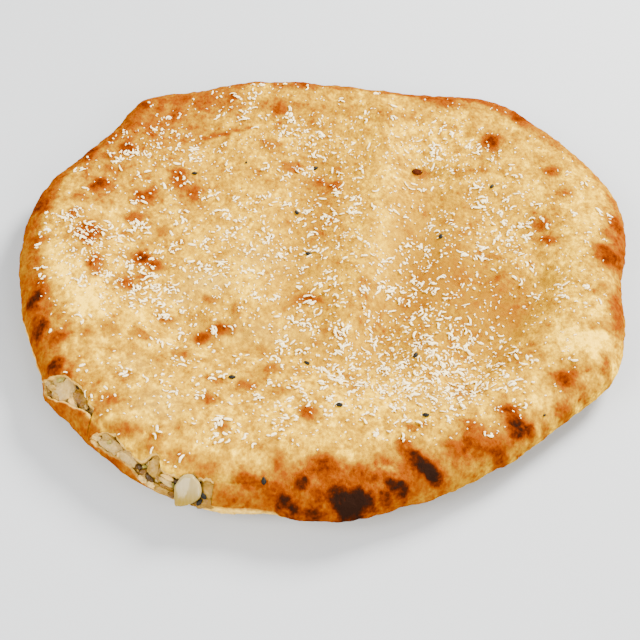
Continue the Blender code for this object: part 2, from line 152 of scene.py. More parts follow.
def sheetHeights(x, y):
    share = polarOf(x, y)[2]
    bottom = breadShape["rimLift"] * smoothStep(breadShape["footShare"], 1.0, share)
    ring = smoothStep(*breadShape["ringShares"], share)
    middle = breadShape["middleThickness"]
    thickness = middle + (breadShape["ringThickness"] - middle) * ring
    thickness = thickness + breadShape["lump"] * noiseAt(x, y, 7.0, breadShape["lumpLength"])
    for path, halfWidth, rise in breadShape["folds"]:
        thickness += rise * bell(pathDistance(x, y, path), halfWidth)
    soft = breadShape["leastSoftness"]
    spare = soft * np.log1p(np.exp((thickness - breadShape["leastThickness"]) / soft))
    return bottom, bottom + breadShape["leastThickness"] + spare


def surfaceHeight(x, y, sheet):
    angle, radius, share = polarOf(x, y)
    middle = rimMiddle(angle)
    return middle + (sheetHeights(x, y)[sheet] - middle) * rimFullness(share, radius)


def bottomHeight(x, y):
    return surfaceHeight(x, y, 0)


def topHeight(x, y):
    return surfaceHeight(x, y, 1)


def makeMesh(name, points, faces):
    data = bpy.data.meshes.new(name)
    data.from_pydata([tuple(point) for point in (np.asarray(points) * mm).tolist()], [], faces)
    data.validate()
    made = bpy.data.objects.new(name, data)
    bpy.context.scene.collection.objects.link(made)
    return made


# A closed solid: a grid on top, rings round its rim and below, and a fan at its middle.
def cushion(name, squares, rimRings, reach, rimWidth, high, low, underShares, shrink=0.0):
    side = np.linspace(-1.0, 1.0, squares + 1)
    across, along = np.meshgrid(side, side)
    wide = np.abs(across) > np.abs(along)
    safeAcross = np.where(across == 0, 1.0, across)
    safeAlong = np.where(along == 0, 1.0, along)
    angle = np.where(wide, 45 * along / safeAcross + 180 * (across < 0),
                     90 - 45 * across / safeAlong + 180 * (along < 0)) % 360.0
    share = np.maximum(np.abs(across), np.abs(along))

    def corners(angle, out, height, inwards):
        x, y = planPoint(angle, out)
        nearer = 1.0 - shrink / reach(angle)
        return np.stack([x * nearer, y * nearer, height(x, y) + inwards * shrink], axis=1)

    count = squares + 1
    flat = angle.ravel()
    points = [corners(flat, (reach(flat) - rimWidth) * share.ravel(), high, -1)]
    cell = np.arange(squares)
    first = (cell[:, None] * count + cell[None, :]).ravel()
    faces = np.stack([first, first + 1, first + count + 1, first + count], axis=1).tolist()
    last = squares
    border = [row * count + last for row in range(last)]
    border += [last * count + column for column in range(last, 0, -1)]
    border += [row * count for row in range(last, 0, -1)] + list(range(last))
    ringAngles = flat[border]
    turns = np.arange(1, rimRings + 1) / rimRings * math.pi / 2
    levels = [(1.0, rimWidth * (1 - math.sin(turn)), high, -1) for turn in turns]
    levels += [(underShare, 0.0, low, 1) for underShare in underShares]
    ring = np.array(border)
    total = count * count
    for underShare, inset, height, inwards in levels:
        points.append(corners(ringAngles, reach(ringAngles) * underShare - inset, height, inwards))
        nextRing = np.arange(total, total + len(border))
        total += len(border)
        faces += np.stack([ring, nextRing, np.roll(nextRing, -1), np.roll(ring, -1)], axis=1).tolist()
        ring = nextRing
    centre = points[-1].mean(axis=0)
    points.append(centre[None, :])
    faces += [(int(one), total, int(two)) for one, two in zip(ring, np.roll(ring, -1))]
    return makeMesh(name, np.concatenate(points), faces)


# Where the crust is browned, where light and shade are painted on it, and where its surface is creased.
crustPaint = {
    "rimToast": [  # angle, how far it is toasted from 0 to 1, how far in from the rim
        (0, 0.42, 7), (6, 0.64, 8), (13, 0.64, 8), (20, 0.42, 9), (34, 0.42, 12), (47, 0.6, 15),
        (56, 0.68, 15), (64, 0.65, 13), (72, 0.66, 12), (80, 0.52, 10), (92, 0.57, 11), (102, 0.6, 12),
        (112, 0.57, 14), (124, 0.58, 17), (133, 0.58, 18), (142, 0.58, 14), (150, 0.6, 12), (160, 0.6, 11),
        (172, 0.65, 11), (185, 0.58, 11), (196, 0.6, 14), (206, 0.6, 15), (212, 0.58, 13), (217, 0.6, 9),
        (226, 0.6, 7), (236, 0.6, 4), (243, 0.52, 4), (247, 0.42, 4), (252, 0.46, 8), (256, 0.56, 12),
        (260, 0.57, 14), (264, 0.59, 18), (268, 0.64, 21), (272, 0.65, 23), (277, 0.65, 21), (283, 0.63, 18),
        # From about 303 to 346 degrees the front right rim's low levels are partly painted light.
        (290, 0.58, 15), (297, 0.5, 13), (303, 0.34, 12), (310, 0.24, 9), (318, 0.14, 8), (328, 0.12, 8),
        (338, 0.16, 7), (346, 0.38, 6), (352, 0.56, 7), (357, 0.54, 7),
    ],
    "base": 0.27,
    "paleAndLitZones": [  # x, y, half width along x, along y, how much paler; on the banks, the ridge and the front right rim this is partly painted light
        (-105, -16, 15, 26, 0.22), (-96, -38, 20, 14, 0.1), (-66, -44, 26, 9, 0.08), (112, 20, 12, 40, 0.08),
        (124, -6, 8, 30, 0.24), (112, -48, 16, 24, 0.28), (114, -66, 14, 12, 0.1), (92, -78, 18, 12, 0.14),
        (-10, -88, 60, 12, 0.05), (-52, 80, 30, 8, 0.06), (-30, -20, 26, 16, 0.05), (36, -72, 34, 14, 0.05),
        (60, 90, 40, 10, 0.04), (25, 60, 7, 22, 0.1), (26, 14, 7, 30, 0.14), (40, 92, 20, 10, 0.05),
    ],
    "goldenAndShadedZones": [  # the same, how much more golden; in the troughs and the dent this is partly painted shade
        (44, 8, 26, 44, 0.16), (76, -20, 22, 26, 0.14), (34, -22, 14, 18, 0.09), (82, -15, 10, 14, 0.09),
        (24, -46, 34, 12, 0.07), (-10, 8, 13, 44, 0.09), (0, 60, 34, 16, 0.05), (64, 46, 18, 16, 0.05),
        (58, 0, 16, 18, 0.07), (75, -46, 8, 9, 0.1), (4, -26, 22, 14, 0.07), (-30, 96, 60, 12, 0.07),
        (-84, 78, 26, 24, 0.24), (-104, 50, 14, 22, 0.12), (-4, 45, 9, 34, 0.13), (-40, 106, 60, 10, 0.06),
    ],
    "glows": [  # x, y, half width along x, along y, level: broad toasted areas
        (-88, 84, 22, 15, 0.51), (-60, 98, 26, 10, 0.52), (-26, 102, 22, 8, 0.47), (-100, 50, 12, 16, 0.38),
        (-108, -52, 10, 18, 0.46), (-90, -80, 10, 12, 0.42), (-81, -89, 5, 8, 0.56), (-71, -99, 9, 4.4, 0.6),
        (-61, -106, 6, 4, 0.56), (-48, -110, 8, 4.4, 0.53), (-38, -113, 6, 3.4, 0.54), (-67, 80, 9, 5, 0.44),
        (-37, 80, 6, 5, 0.4), (-82, 80, 8, 6, 0.46), (1, 28, 7, 9, 0.36), (-10, 57, 7, 8, 0.38),
        (-64, -60, 16, 6, 0.36), (62, -92, 15, 9, 0.46), (84, -78, 12, 8, 0.36), (108, -58, 9, 9, 0.33),
        (-78, 20, 26, 22, 0.28), (104, 44, 14, 26, 0.28), (40, -106, 12, 9, 0.57), (-79, -7, 10, 5, 0.52),
        (-61.5, 75.6, 4.2, 2.2, 0.62), (-57, 78, 4.4, 2.5, 0.7), (-52.4, 79.8, 4.6, 2.5, 0.72),
        (-47.3, 82.4, 4.4, 2.3, 0.68), (-42, 85, 4, 2, 0.58), (4, -106, 8, 4.5, 0.62),
        (11, -109, 7, 4.5, 0.59), (17, -109, 7, 4, 0.59), (27, -105, 6, 5, 0.57), (-12, -109, 7, 4, 0.56),
        (-24, -117, 9, 4, 0.57), (-67, 44, 9, 9, 0.48), (-85, 32, 8, 6, 0.5), (-50, -46, 8, 4, 0.42),
        (-104, 30, 9, 8, 0.44),
    ],
    "spots": [  # x, y, half width along x, along y, level: blisters that browned
        (-80, -5, 4.4, 3.8, 0.8), (-74, -7, 3.4, 3, 0.7), (-71, 47, 3.2, 6, 0.64), (-63, 40, 3.2, 5, 0.66),
        (-104, 3, 4, 6.4, 0.76), (-102, -71, 4, 6, 0.84), (76, 86, 4.2, 5, 0.74), (98, -60, 4.6, 4.4, 0.72),
        (-85, 33, 5.4, 4, 0.7), (-105, 35, 3.8, 4.4, 0.78), (123, -22, 3, 9, 0.66), (-6, -19, 5, 3, 0.66),
        (-31, 76, 4.4, 3.6, 0.58), (-128, 18, 3.6, 5, 0.76), (96, 32, 3.8, 4.2, 0.62),
        (-66, 98, 4.4, 4.6, 0.62), (-97, 61, 3.6, 3.8, 0.74), (-98, -14, 2.9, 4.8, 0.66),
        (98, 21, 4, 3.2, 0.7), (-49, -45, 3.4, 3.4, 0.74), (60, -88, 5, 3.2, 0.6), (-3, -84, 3, 3.4, 0.66),
        (-21, 64, 4, 3.4, 0.58), (-52, 103, 3, 4.2, 0.62), (-28, 100, 3, 4, 0.66), (-42, -40, 5.2, 2.4, 0.7),
        (-77, 90, 3, 4.2, 0.62), (-38, -116, 3.6, 4.5, 0.52), (-123, -4, 3.6, 3.4, 0.62),
        (-113, 55, 4, 5, 0.72), (-28, -70, 3.6, 3.2, 0.62), (-20, 117, 9, 3, 0.56), (53, 112, 10, 3, 0.6),
        (116, -52, 2, 4.2, 0.5), (103, 66, 3.2, 3.2, 0.64), (-42, -80, 3.2, 3, 0.56),
        (60, 67, 3.6, 3.4, 0.5), (41, 68.4, 3.4, 2.6, 0.52), (71, -97, 3.6, 3, 0.68),
        (-85, -49, 3.2, 3.6, 0.48), (-86, 19, 3.8, 3, 0.62), (129, 33, 3.4, 5.4, 0.76),
        (123, 10, 5.4, 5.6, 0.79), (54, -99, 6, 3.4, 0.6), (62, -95.6, 5.4, 4, 0.62),
        (71, -91.4, 4.8, 3, 0.6), (125, 24, 3.6, 4, 0.56), (-47, -25, 3.8, 2.8, 0.56), (97, -73, 3, 4, 0.58),
        (1, 53, 3, 3.2, 0.66), (-112, 14, 2.8, 3.6, 0.58), (-94, 94, 4, 3.4, 0.64),
        (-18, -59, 3.6, 2.6, 0.52), (-112, 25, 2.8, 2.8, 0.58), (74, 12, 3.8, 2.4, 0.5),
        (-84, -21, 3, 3.4, 0.68), (51, -97, 3.4, 2.6, 0.58), (107, 52, 3.2, 2.4, 0.52),
        (-55, -56, 2.8, 2.8, 0.54), (-78, -86, 2.8, 2.6, 0.58), (-34, -94, 2.4, 3, 0.54),
        (-81, 69, 2.6, 3.4, 0.46), (58, -96, 2.4, 3.8, 0.62), (17, -110, 2.4, 3.2, 0.66),
        (-5, 56, 2.6, 3, 0.6), (-74, -49, 3.4, 2.2, 0.54), (-16, -72, 2.4, 2.8, 0.5),
        (-12, -107, 2.2, 2.8, 0.58), (90, 104, 4.4, 3, 0.66), (2, 64, 2.4, 2.8, 0.48),
        (1, -127, 3, 3.4, 0.76), (-104, 54, 2.6, 2.6, 0.62), (-104, -57, 3, 4, 0.64), (6, 102, 2, 3.2, 0.46),
        (68, -95, 2.6, 2.8, 0.68), (105, -63, 2, 3.2, 0.52), (-77, -15, 2.8, 2.4, 0.52),
        (-103, 79, 2.6, 2.6, 0.62), (-63, -37, 2.6, 2.2, 0.5), (-99, 83, 2, 2.4, 0.6),
        (-36, -30, 2, 3.6, 0.48), (-102, 46, 2.4, 2.8, 0.64), (-73, 13, 2.6, 2.6, 0.52),
        (-8, 90, 2.8, 2, 0.48), (80, 66, 2, 2.4, 0.5), (2, -36, 3, 2.2, 0.46), (-94, -52, 2.2, 2.4, 0.5),
        (-88, 9, 2.4, 2.2, 0.5), (-96, -75, 2.4, 2.4, 0.62), (89, -81, 2, 2.4, 0.6), (3, -122, 3, 4, 0.72),
        (9, -118, 2.2, 3, 0.66), (57, -67, 4, 5, 0.44), (-118, -38, 3.8, 8, 0.8), (-113, -52, 4.2, 8, 0.8),
        (-58, 33, 2.2, 2.4, 0.46), (34, -98, 3.2, 3, 0.74), (37.5, -102, 4.2, 3.8, 0.86),
        (41, -106, 4.6, 4.2, 0.95), (44, -109, 4.6, 4, 0.98), (74, -78, 3, 3.8, 0.76),
        (75.5, -83, 4.6, 4.4, 0.86), (77, -87, 4.4, 3.8, 0.88), (82, -85, 3.4, 2.8, 0.8),
        (30, -115, 3.2, 2.8, 0.9), (34, -115, 3.2, 2.8, 0.92), (28, -119, 3.2, 2.8, 0.84),
        (22, -121, 3.6, 3.4, 0.88), (12, -123, 6, 5.6, 1.04), (17, -122, 5, 5.6, 1), (8, -120, 4, 3.4, 0.8),
        (-3, -117, 3.4, 3.8, 0.86), (-9, -124, 3.6, 3.2, 0.86), (-5, -126, 3.4, 3, 0.86),
        (4, -109, 5, 3.8, 0.66), (-14, -120, 4.4, 3.6, 0.68), (-24, -117, 4.4, 3, 0.6),
        (22, -112, 4.2, 3, 0.62),
    ],
    "charredFrom": 0.8, "spotSizes": (1.14, 1.58),  # how much the charred and the other spots are enlarged
    "haloSize": 2.5, "haloLevel": (0.72, 0.54), "spotEdge": 1.6, "glowEdge": 1.4, "blend": 5,
    "freckles": 60, "freckleReach": 122, "freckleSize": (1.4, 3.2), "freckleLength": (1, 1.7),
    "freckleLevel": (0.38, 0.5),
    "warps": [(1.3, 6, 3, 23), (0.5, 2.4, 9, 29)],  # how far the spots' edges wander, size, two noise layers
    "rimRag": [(0.26, 9, 41), (0.14, 4, 43)], "rimFade": (0.62, 1.14),
    "bareRim": [(193, 198, 213, 218), (251, 255, 264, 270)],  # angles where the rim's lower side is bare
    "rimBelow": {  # where the toast ends under the rim, and by how much more where the rim is bare
        "start": (-0.6, 2), "fade": (-2.8, 1.6), "paler": (0.75, 0.12), "shares": (0.88, 0.94),
    },
    "butterSway": (0.25, 11), "underLevels": (-2, -4.5), "crumbDepths": (0.08, 0.5), "crumbBelow": 0.85,
    "shadedSoakedDepths": (1.5, 3), "topShares": (0.97, 0.9), "topHeights": (0.6, 0.75),
    "butter": [  # x, y, half widths, strength: soaked dough, less mottled
        (44, 8, 24, 40, 1), (72, -22, 22, 22, 0.9), (24, -48, 34, 12, 0.55), (-10, 8, 13, 42, 0.6),
        (2, 66, 20, 14, 0.45), (66, 48, 16, 16, 0.4), (-44, 0, 26, 26, 0.28), (-30, -46, 34, 9, 0.3),
    ],
    "grey": [  # x, y, half widths, strength: thin dough over the filling
        (-50, -14, 9, 7, 0.75), (-60, -24, 7, 5, 0.5), (-60, -86, 9, 8, 0.55), (-27, 2, 12, 9, 0.4),
        (-72, -66, 8, 6, 0.4), (50, -72, 12, 7, 0.35), (-20, -40, 20, 6, 0.35),
    ],
    "creases": [  # plan points, half width, height
        ([(-60.6, 71.4), (-54.7, 74.1), (-42.7, 79.7), (-31, 85.6)], 0.9, -1),
        ([(-61, 74), (-55, 76.8), (-43, 82.4), (-31, 88.2)], 1.3, 0.7),
        ([(-68, -37), (-39, -37), (-12, -39)], 0.9, -0.4), ([(-56, -41), (-34, -42), (-10, -43)], 0.8, -0.3),
        ([(-96, -46), (-84, -50), (-70, -56)], 0.9, -0.3), ([(86, -8), (98, -6), (114, -10)], 0.9, -0.25),
    ],
    "relief": [(9, 0.5), (4.6, 0.34), (2.6, 0.2)],  # size of the bumps, height
    "blisterRise": 0.6, "blisterLevels": (0.15, 0.7), "creaseWander": (0.8, 5),
    "rimCrags": (2.6, 0.42, 0.35), "cragShares": (0.9, 0.97),
    "jointAngles": (193, 199, 212, 214),
    "joint": (1.2, 0.5, 0.8),  # below the rim's middle, half width, depth
    "frillAngles": (252, 256, 264, 270), "frill": (3.6, 1.5, 0.9, 0.8),  # the same, and how uneven
}


# The largest of several levels, with smooth joins.
def paintSum(parts, power=4.0):
    return sum(np.maximum(part, 0.0) ** power for part in parts) ** (1.0 / power)


def spotLevels(x, y, spots, edge=1.0):
    return [level * np.exp(-(((x - spotX) / wide) ** 2 + ((y - spotY) / deep) ** 2) ** edge)
            for spotX, spotY, wide, deep, level in spots]


def freckles():
    paint = crustPaint
    draw = random.Random(5)
    made = []
    while len(made) < paint["freckles"]:
        x, y = planPoint(draw.uniform(0, 360), paint["freckleReach"] * math.sqrt(draw.random()))
        size = draw.uniform(*paint["freckleSize"])
        level = draw.uniform(*paint["freckleLevel"])
        made.append((x, y, size * draw.uniform(*paint["freckleLength"]), size, level))
    return made


# How far the crust is toasted: 0 pale, 0.3 cream, 0.45 golden, 0.6 amber, 0.8 red-brown, 1 charred; its broad
# zones also paint light and shade.
def toastLightShadeAt(x, y):
    paint = crustPaint
    angle, radius, share = polarOf(x, y)
    warpX, warpY = x, y
    for shift, size, layerX, layerY in paint["warps"]:
        warpX = warpX + shift * noiseAt(x, y, layerX, size)
        warpY = warpY + shift * noiseAt(x, y, layerY, size)
    angles, levels, widths = zip(*paint["rimToast"])
    level, width = (np.interp(angle, angles, values, period=360) for values in (levels, widths))
    rag = sum(amount * noiseAt(x, y, layer, size) for amount, size, layer in paint["rimRag"])
    inwards = radius * (1.0 - share) + width * rag
    fadeFrom, fadeTo = paint["rimFade"]
    rim = level * (1.0 - smoothStep(fadeFrom * width, fadeTo * width, inwards))
    # Broad zones raise or lower the base level: paler as painted light on the banks and ridge, more golden as
    # painted shade in the troughs and the dent.
    base = paint["base"] + sum(spotLevels(x, y, paint["goldenAndShadedZones"]))
    base = base - sum(spotLevels(x, y, paint["paleAndLitZones"]))
    (charred, other), halo = paint["spotSizes"], paint["haloSize"]
    spots = []
    for spotX, spotY, wide, deep, level in paint["spots"] + freckles():
        grow = charred if level >= paint["charredFrom"] else other
        spots.append((spotX, spotY, grow * wide, grow * deep, level))
    share, most = paint["haloLevel"]
    halos = [(spotX, spotY, halo * wide, halo * deep, min(most, share * level))
             for spotX, spotY, wide, deep, level in paint["spots"]]
    parts = [np.maximum(base, 0.02), rim] + spotLevels(warpX, warpY, spots, paint["spotEdge"])
    parts += spotLevels(warpX, warpY, halos)
    parts += spotLevels(warpX, warpY, paint["glows"], paint["glowEdge"])
    return paintSum(parts, paint["blend"])


# How far the crust stands out or in; high is 1 on the top and 0 on the underside.
def reliefAt(x, y, z, high):
    paint, seam = crustPaint, openSeam
    angle, radius, share = polarOf(x, y)
    above = z - rimMiddle(angle)
    height = sum(rise * noiseAt(x, y, z + 11.0 * size, size) for size, rise in paint["relief"])
    amount, size = paint["creaseWander"]
    wander = amount * noiseAt(x, y, 51.0, size)
    for path, halfWidth, rise in paint["creases"]:
        height += high * rise * bell(pathDistance(x + wander, y + wander, path), halfWidth)
    size, rise, sunk = paint["rimCrags"]
    height += rise * smoothStep(*paint["cragShares"], share) * (noiseAt(x, y, z, size) - sunk)
    blister = paintSum(spotLevels(x, y, paint["spots"]))
    height += high * paint["blisterRise"] * smoothStep(*paint["blisterLevels"], blister)
    # A thin crack runs on from the open seam, and the crust outside it lies a little lower.
    back = radius * (1.0 - share)
    inCrack = plateau(*seam["crackAngles"], angle) * high
    amount, size = seam["crackRag"]
    ragged = np.interp(angle, *zip(*seam["crack"])) + amount * noiseAt(angle * 2.2, 3.0, 0.0, size)
    height -= inCrack * seam["crackDepth"] * bell(back - ragged, seam["crackWidth"])
    height -= inCrack * seam["crackStep"] * smoothStep(ragged + 0.5, ragged - 0.5, back)
    # The two sheets' joint shows as a groove on the left rim.
    below, halfWidth, depth = paint["joint"]
    groove = bell(above + below + 0.5 * noiseAt(x, y, 71.0, 7.0), halfWidth)
    height -= depth * plateau(*paint["jointAngles"], angle) * groove
    # Under the rim a pale ragged edge of the bottom sheet stands out.
    below, halfWidth, rise, unevenness = paint["frill"]
    frill = plateau(*paint["frillAngles"], angle) * bell(above + below, halfWidth)
    height += frill * (rise + unevenness * noiseAt(x, y, z, 1.8))
    return height


# The seam that has come open.
openSeam = {
    "mouths": [  # edge: angle, how far back; lip: angle, how far in its crest lies, its height
        {
            "edge": [
                (213.8, -1), (214.8, 1.2), (215.7, 2.6), (216.3, 4.8), (217.1, 8.1), (217.6, 9.8),
                (218.8, 11.1), (219.9, 11.6), (221.2, 12.2), (223.1, 11.2), (224.3, 10.2), (225.3, 9),
                (226.1, 8.7), (227.3, 9.2), (227.9, 7.2), (228.6, 4.6), (229.4, 1.8), (229.8, -1),
            ],
            "lip": [
                (213.5, 1.6, 0.4), (217.6, 1.4, 1), (219.7, 2.1, 3.4), (221.1, 2.7, 4.4), (221.8, 3.8, 5.2),
                (224, 4.3, 5.7), (225, 5, 6.3), (226, 5.9, 6.8), (227.5, 6.4, 7.2), (230, 4.5, 6),
            ],
            "floor": -1,
        },
        {
            "edge": [
                (229.9, -1), (230.3, 2), (230.9, 3.7), (231.7, 5), (232.7, 6.6), (233.8, 7.1), (234.7, 6.7),
                (235.8, 5.9), (238, 5.7), (239.3, 5), (240.7, 5.2), (241.3, 6.4), (241.7, 8.8), (242.4, 9.9),
                (243.3, 8.8), (244.2, 6.4), (245.2, 5.4), (246.9, 5.9), (248, 6), (248.9, 7.6), (249.8, 8.2),
                (251.2, 7.4), (252.8, 8.2), (253.6, 8), (253.9, 4.5), (254.2, 1.5), (254.5, -1),
            ],
            "lip": [
                (229.9, 3, 2.6), (232, 1.9, 2), (233.5, 1.9, 1.9), (235.3, 2, 2.8), (236.8, 2.7, 3.8),
                (238, 2.9, 3.7), (239.6, 2.4, 2.9), (240.8, 1.9, 1.9), (242, 1.7, 1.6), (243.3, 1.6, 0.4),
                (244.6, 1.5, -0.6), (255, 1.5, -0.9),
            ],
            "floor": -1.7,
        },
    ],
    "step": 0.25, "edgeRag": (1.1, 0.55), "lipRag": (1.4, 0.4), "degree": 2.2,  # one degree of rim in mm
    "lipFoot": 1.7, "footRoom": 0.3, "crestRoom": 0.6,
    "wallRows": 20, "wallHeight": 11, "wallRag": (1.3, 0.38), "above": 40, "outside": 8,
    "crack": [(252, 8.2), (254, 8.4), (257, 9.4), (259.5, 8.8), (263, 6.6)],
    "crackAngles": (252, 254, 259, 263.5), "crackRag": (0.9, 2),
    "crackDepth": 1.5, "crackWidth": 0.55, "crackStep": 1.1,
}


def openedShare(angle):
    first, last = breadShape["openSeam"]
    ease = breadShape["openSeamEase"]
    return plateau(first - ease, first + ease, last - ease, last + ease, angle)


def pocketReach(angle):
    closed, opened = breadShape["pocketInset"], breadShape["openPocketInset"]
    return outlineRadius(angle) - (closed + (opened - closed) * openedShare(angle % 360.0))


# The room between the two sheets of dough, smaller all round by a gap.
def pocket(name, gap, squares):
    ringTurns = [planPoint(angle, breadShape["pocketSmoothing"]) for angle in range(0, 360, 45)]
    topSheet, bottomSheet = breadShape["topSheet"], breadShape["bottomSheet"]
    rimWidth = breadShape["pocketRimWidth"]

    def centre(x, y):
        bottom, top = sheetHeights(x, y)
        return (bottom + bottomSheet + top - topSheet) / 2

    def fullness(x, y):
        angle = np.degrees(np.arctan2(y, x)) % 360.0
        across = (np.hypot(x, y) - pocketReach(angle) + rimWidth) / rimWidth
        return np.sqrt(np.maximum(0.0, 1.0 - np.maximum(0.0, across) ** 2))

    def ceiling(x, y):
        here = sheetHeights(x, y)[1]
        lowest = np.min([here] + [sheetHeights(x + dx, y + dy)[1] for dx, dy in ringTurns], axis=0)
        middle = centre(x, y)
        return middle + (topHeight(x, y) - here + lowest - topSheet - middle) * fullness(x, y)

    def floor(x, y):
        middle = centre(x, y)
        return middle + (bottomHeight(x, y) + bottomSheet - middle) * fullness(x, y)

    shares = (0.975, 0.85, breadShape["footShare"], 0.2)
    return cushion(name, squares, 4, pocketReach, rimWidth, ceiling, floor, shares, gap)


def mouthAngles(mouth):
    first, last = mouth["edge"][0][0], mouth["edge"][-1][0]
    return np.linspace(first, last, round((last - first) / openSeam["step"]) + 1)


# Radius of the torn edge, the foot and the crest of the lip, and heights of the floor and the lip.
def mouthLines(mouth, angle):
    seam = openSeam
    edgeAngles, edgeBacks = zip(*mouth["edge"])
    lipAngles, lipInsets, lipRises = zip(*mouth["lip"])
    radius = outlineRadius(angle)
    size, rag = seam["edgeRag"]
    edge = radius - np.interp(angle, edgeAngles, edgeBacks)
    edge = edge + rag * noiseAt(angle, 5.0, 0.0, size / seam["degree"])
    inset = np.interp(angle, lipAngles, lipInsets)
    foot = np.maximum(radius - inset - seam["lipFoot"], edge + seam["footRoom"])
    crest = np.maximum(radius - inset, edge + seam["crestRoom"])
    size, rag = seam["lipRag"]
    lip = rimMiddle(angle) + np.interp(angle, lipAngles, lipRises)
    lip = lip + rag * noiseAt(angle, 8.0, 0.0, size / seam["degree"])
    floor = rimMiddle(angle) + mouth["floor"]
    return edge, foot, crest, floor, lip


# Faces between closed rings of points.
def ringFaces(rings, corners):
    faces = []
    for ring in range(rings - 1):
        start, following = ring * corners, (ring + 1) * corners
        for side in range(corners):
            other = (side + 1) % corners
            faces.append((start + side, following + side, following + other, start + other))
    return faces


# A closed solid through sections, each an array of corners as x, y, z.
def loft(name, sections):
    count, corners = len(sections), len(sections[0])
    faces = ringFaces(count, corners)
    faces.append(tuple(range(corners)))
    faces.append(tuple(reversed(range((count - 1) * corners, count * corners))))
    return makeMesh(name, np.concatenate(sections), faces)


def sectionPoints(angle, corners):
    radius, height = np.array(corners).T
    x, y = planPoint(angle, radius)
    return np.stack([x, y, height], axis=1)


# What a mouth takes from the bread: a ragged wall, the floor, the lip and all above it.
def mouthCutter(name, mouth):
    seam = openSeam
    size, rag = seam["wallRag"]
    sections = []
    for angle in mouthAngles(mouth):
        edge, foot, crest, floor, lip = (float(value) for value in mouthLines(mouth, angle))
        levels = np.linspace(floor, floor + seam["wallHeight"], seam["wallRows"])
        levels = np.append(levels, seam["above"])
        wall = edge + rag * noiseAt(angle * 1.9, levels, 2.0, size)
        corners = [(float(radius), float(height)) for radius, height in zip(wall, levels)][::-1]
        corners += [((edge + foot) / 2, floor), (foot, floor), ((foot + crest) / 2, (floor + lip) / 2 + 0.2)]
        rim = float(outlineRadius(angle))
        corners += [(crest, lip), ((crest + rim) / 2 + 0.4, lip + 0.1), (rim + 1.2, lip - 0.3)]
        corners += [(rim + seam["outside"], lip - 0.3), (rim + seam["outside"], seam["above"])]
        sections.append(sectionPoints(angle, corners))
    return loft(name, sections)


def applyBoolean(target, operation, others):
    group = bpy.data.collections.new("joined shapes")
    bpy.context.scene.collection.children.link(group)
    for other in others:
        bpy.context.scene.collection.objects.unlink(other)
        group.objects.link(other)
    modifier = target.modifiers.new(operation, "BOOLEAN")
    modifier.operation = operation
    modifier.operand_type = "COLLECTION"
    modifier.collection = group
    modifier.solver = "MANIFOLD"
    depsgraph = bpy.context.evaluated_depsgraph_get()
    joined = bpy.data.meshes.new_from_object(target.evaluated_get(depsgraph))
    target.modifiers.clear()
    target.data = joined
    for other in others:
        bpy.data.objects.remove(other)
    bpy.data.collections.remove(group)


def pointsOf(made):
    points = np.empty(len(made.data.vertices) * 3)
    made.data.vertices.foreach_get("co", points)
    return points.reshape(-1, 3) / mm


def normalsOf(made):
    normals = np.empty(len(made.data.vertices) * 3)
    made.data.vertices.foreach_get("normal", normals)
    return normals.reshape(-1, 3)


def setPoints(made, points):
    made.data.vertices.foreach_set("co", (points * mm).ravel())
    made.data.update()


def giveLevels(made, name, levels):
    layer = made.data.attributes.new(name, "FLOAT", "POINT")
    layer.data.foreach_set("value", np.clip(levels, 0.0, 1.3).astype(np.float32))


# A material in the making, with short calls for the nodes that it is built from.
class Finish:
    def __init__(self, name):
        self.material = bpy.data.materials.new(name)
        self.material.use_nodes = True
        self.tree = self.material.node_tree
        self.normal = None
        here = self.add("TexCoord", {}, "Object")
        self.place = self.add("VectorMath", {0: here, "Scale": 1.0 / mm}, operation="SCALE")

    # Links what comes out of a node, and sets what is a number or a colour.
    def fill(self, inputs, values):
        for key, value in values.items():
            socket = inputs[key]
            if isinstance(value, bpy.types.NodeSocket):
                self.tree.links.new(value, socket)
            else:
                socket.default_value = (*value, 1.0) if socket.type == "RGBA" else value

    def shade(self, values):
        self.fill(self.tree.nodes["Principled BSDF"].inputs, values)

    def add(self, kind, values, output=0, **settings):
        made = self.tree.nodes.new("ShaderNode" + kind)
        for setting, value in settings.items():
            setattr(made, setting, value)
        self.fill(made.inputs, values)
        return made.outputs[output]

    def level(self, name):
        return self.add("Attribute", {}, "Fac", attribute_name=name)

    def math(self, operation, *values):
        return self.add("Math", dict(enumerate(values)), operation=operation)

    def mix(self, factor, first, second):
        return self.add("Mix", {"Factor": factor, "A": first, "B": second}, "Result", data_type="RGBA")

    def spread(self, value, low, high):
        return self.add("MapRange", {"Value": value, "From Min": low, "From Max": high}, "Result")

    # Noise with lumps of a size in millimetres, spread over 0 to 1.
    def noise(self, size, detail, rough, low=0.3, high=0.7, place=None):
        values = {"Scale": 1.0 / size, "Detail": detail, "Roughness": rough}
        values["Vector"] = self.place if place is None else place
        return self.spread(self.add("TexNoise", values, "Fac"), low, high)

    def ramp(self, level, stops):
        made = self.tree.nodes.new("ShaderNodeValToRGB")
        ramp = made.color_ramp
        while len(ramp.elements) < len(stops):
            ramp.elements.new(0.5)
        for element, (position, colour) in zip(ramp.elements, stops):
            element.position = position
            element.color = (*colour, 1.0)
        self.fill(made.inputs, {"Fac": level})
        return made.outputs["Color"]

    # Each bump lies on the ones before it.
    def bump(self, height, strength, distance):
        values = {"Height": height, "Strength": strength, "Distance": distance * mm}
        if self.normal is not None:
            values["Normal"] = self.normal
        self.normal = self.add("Bump", values, "Normal")
        self.shade({"Normal": self.normal})


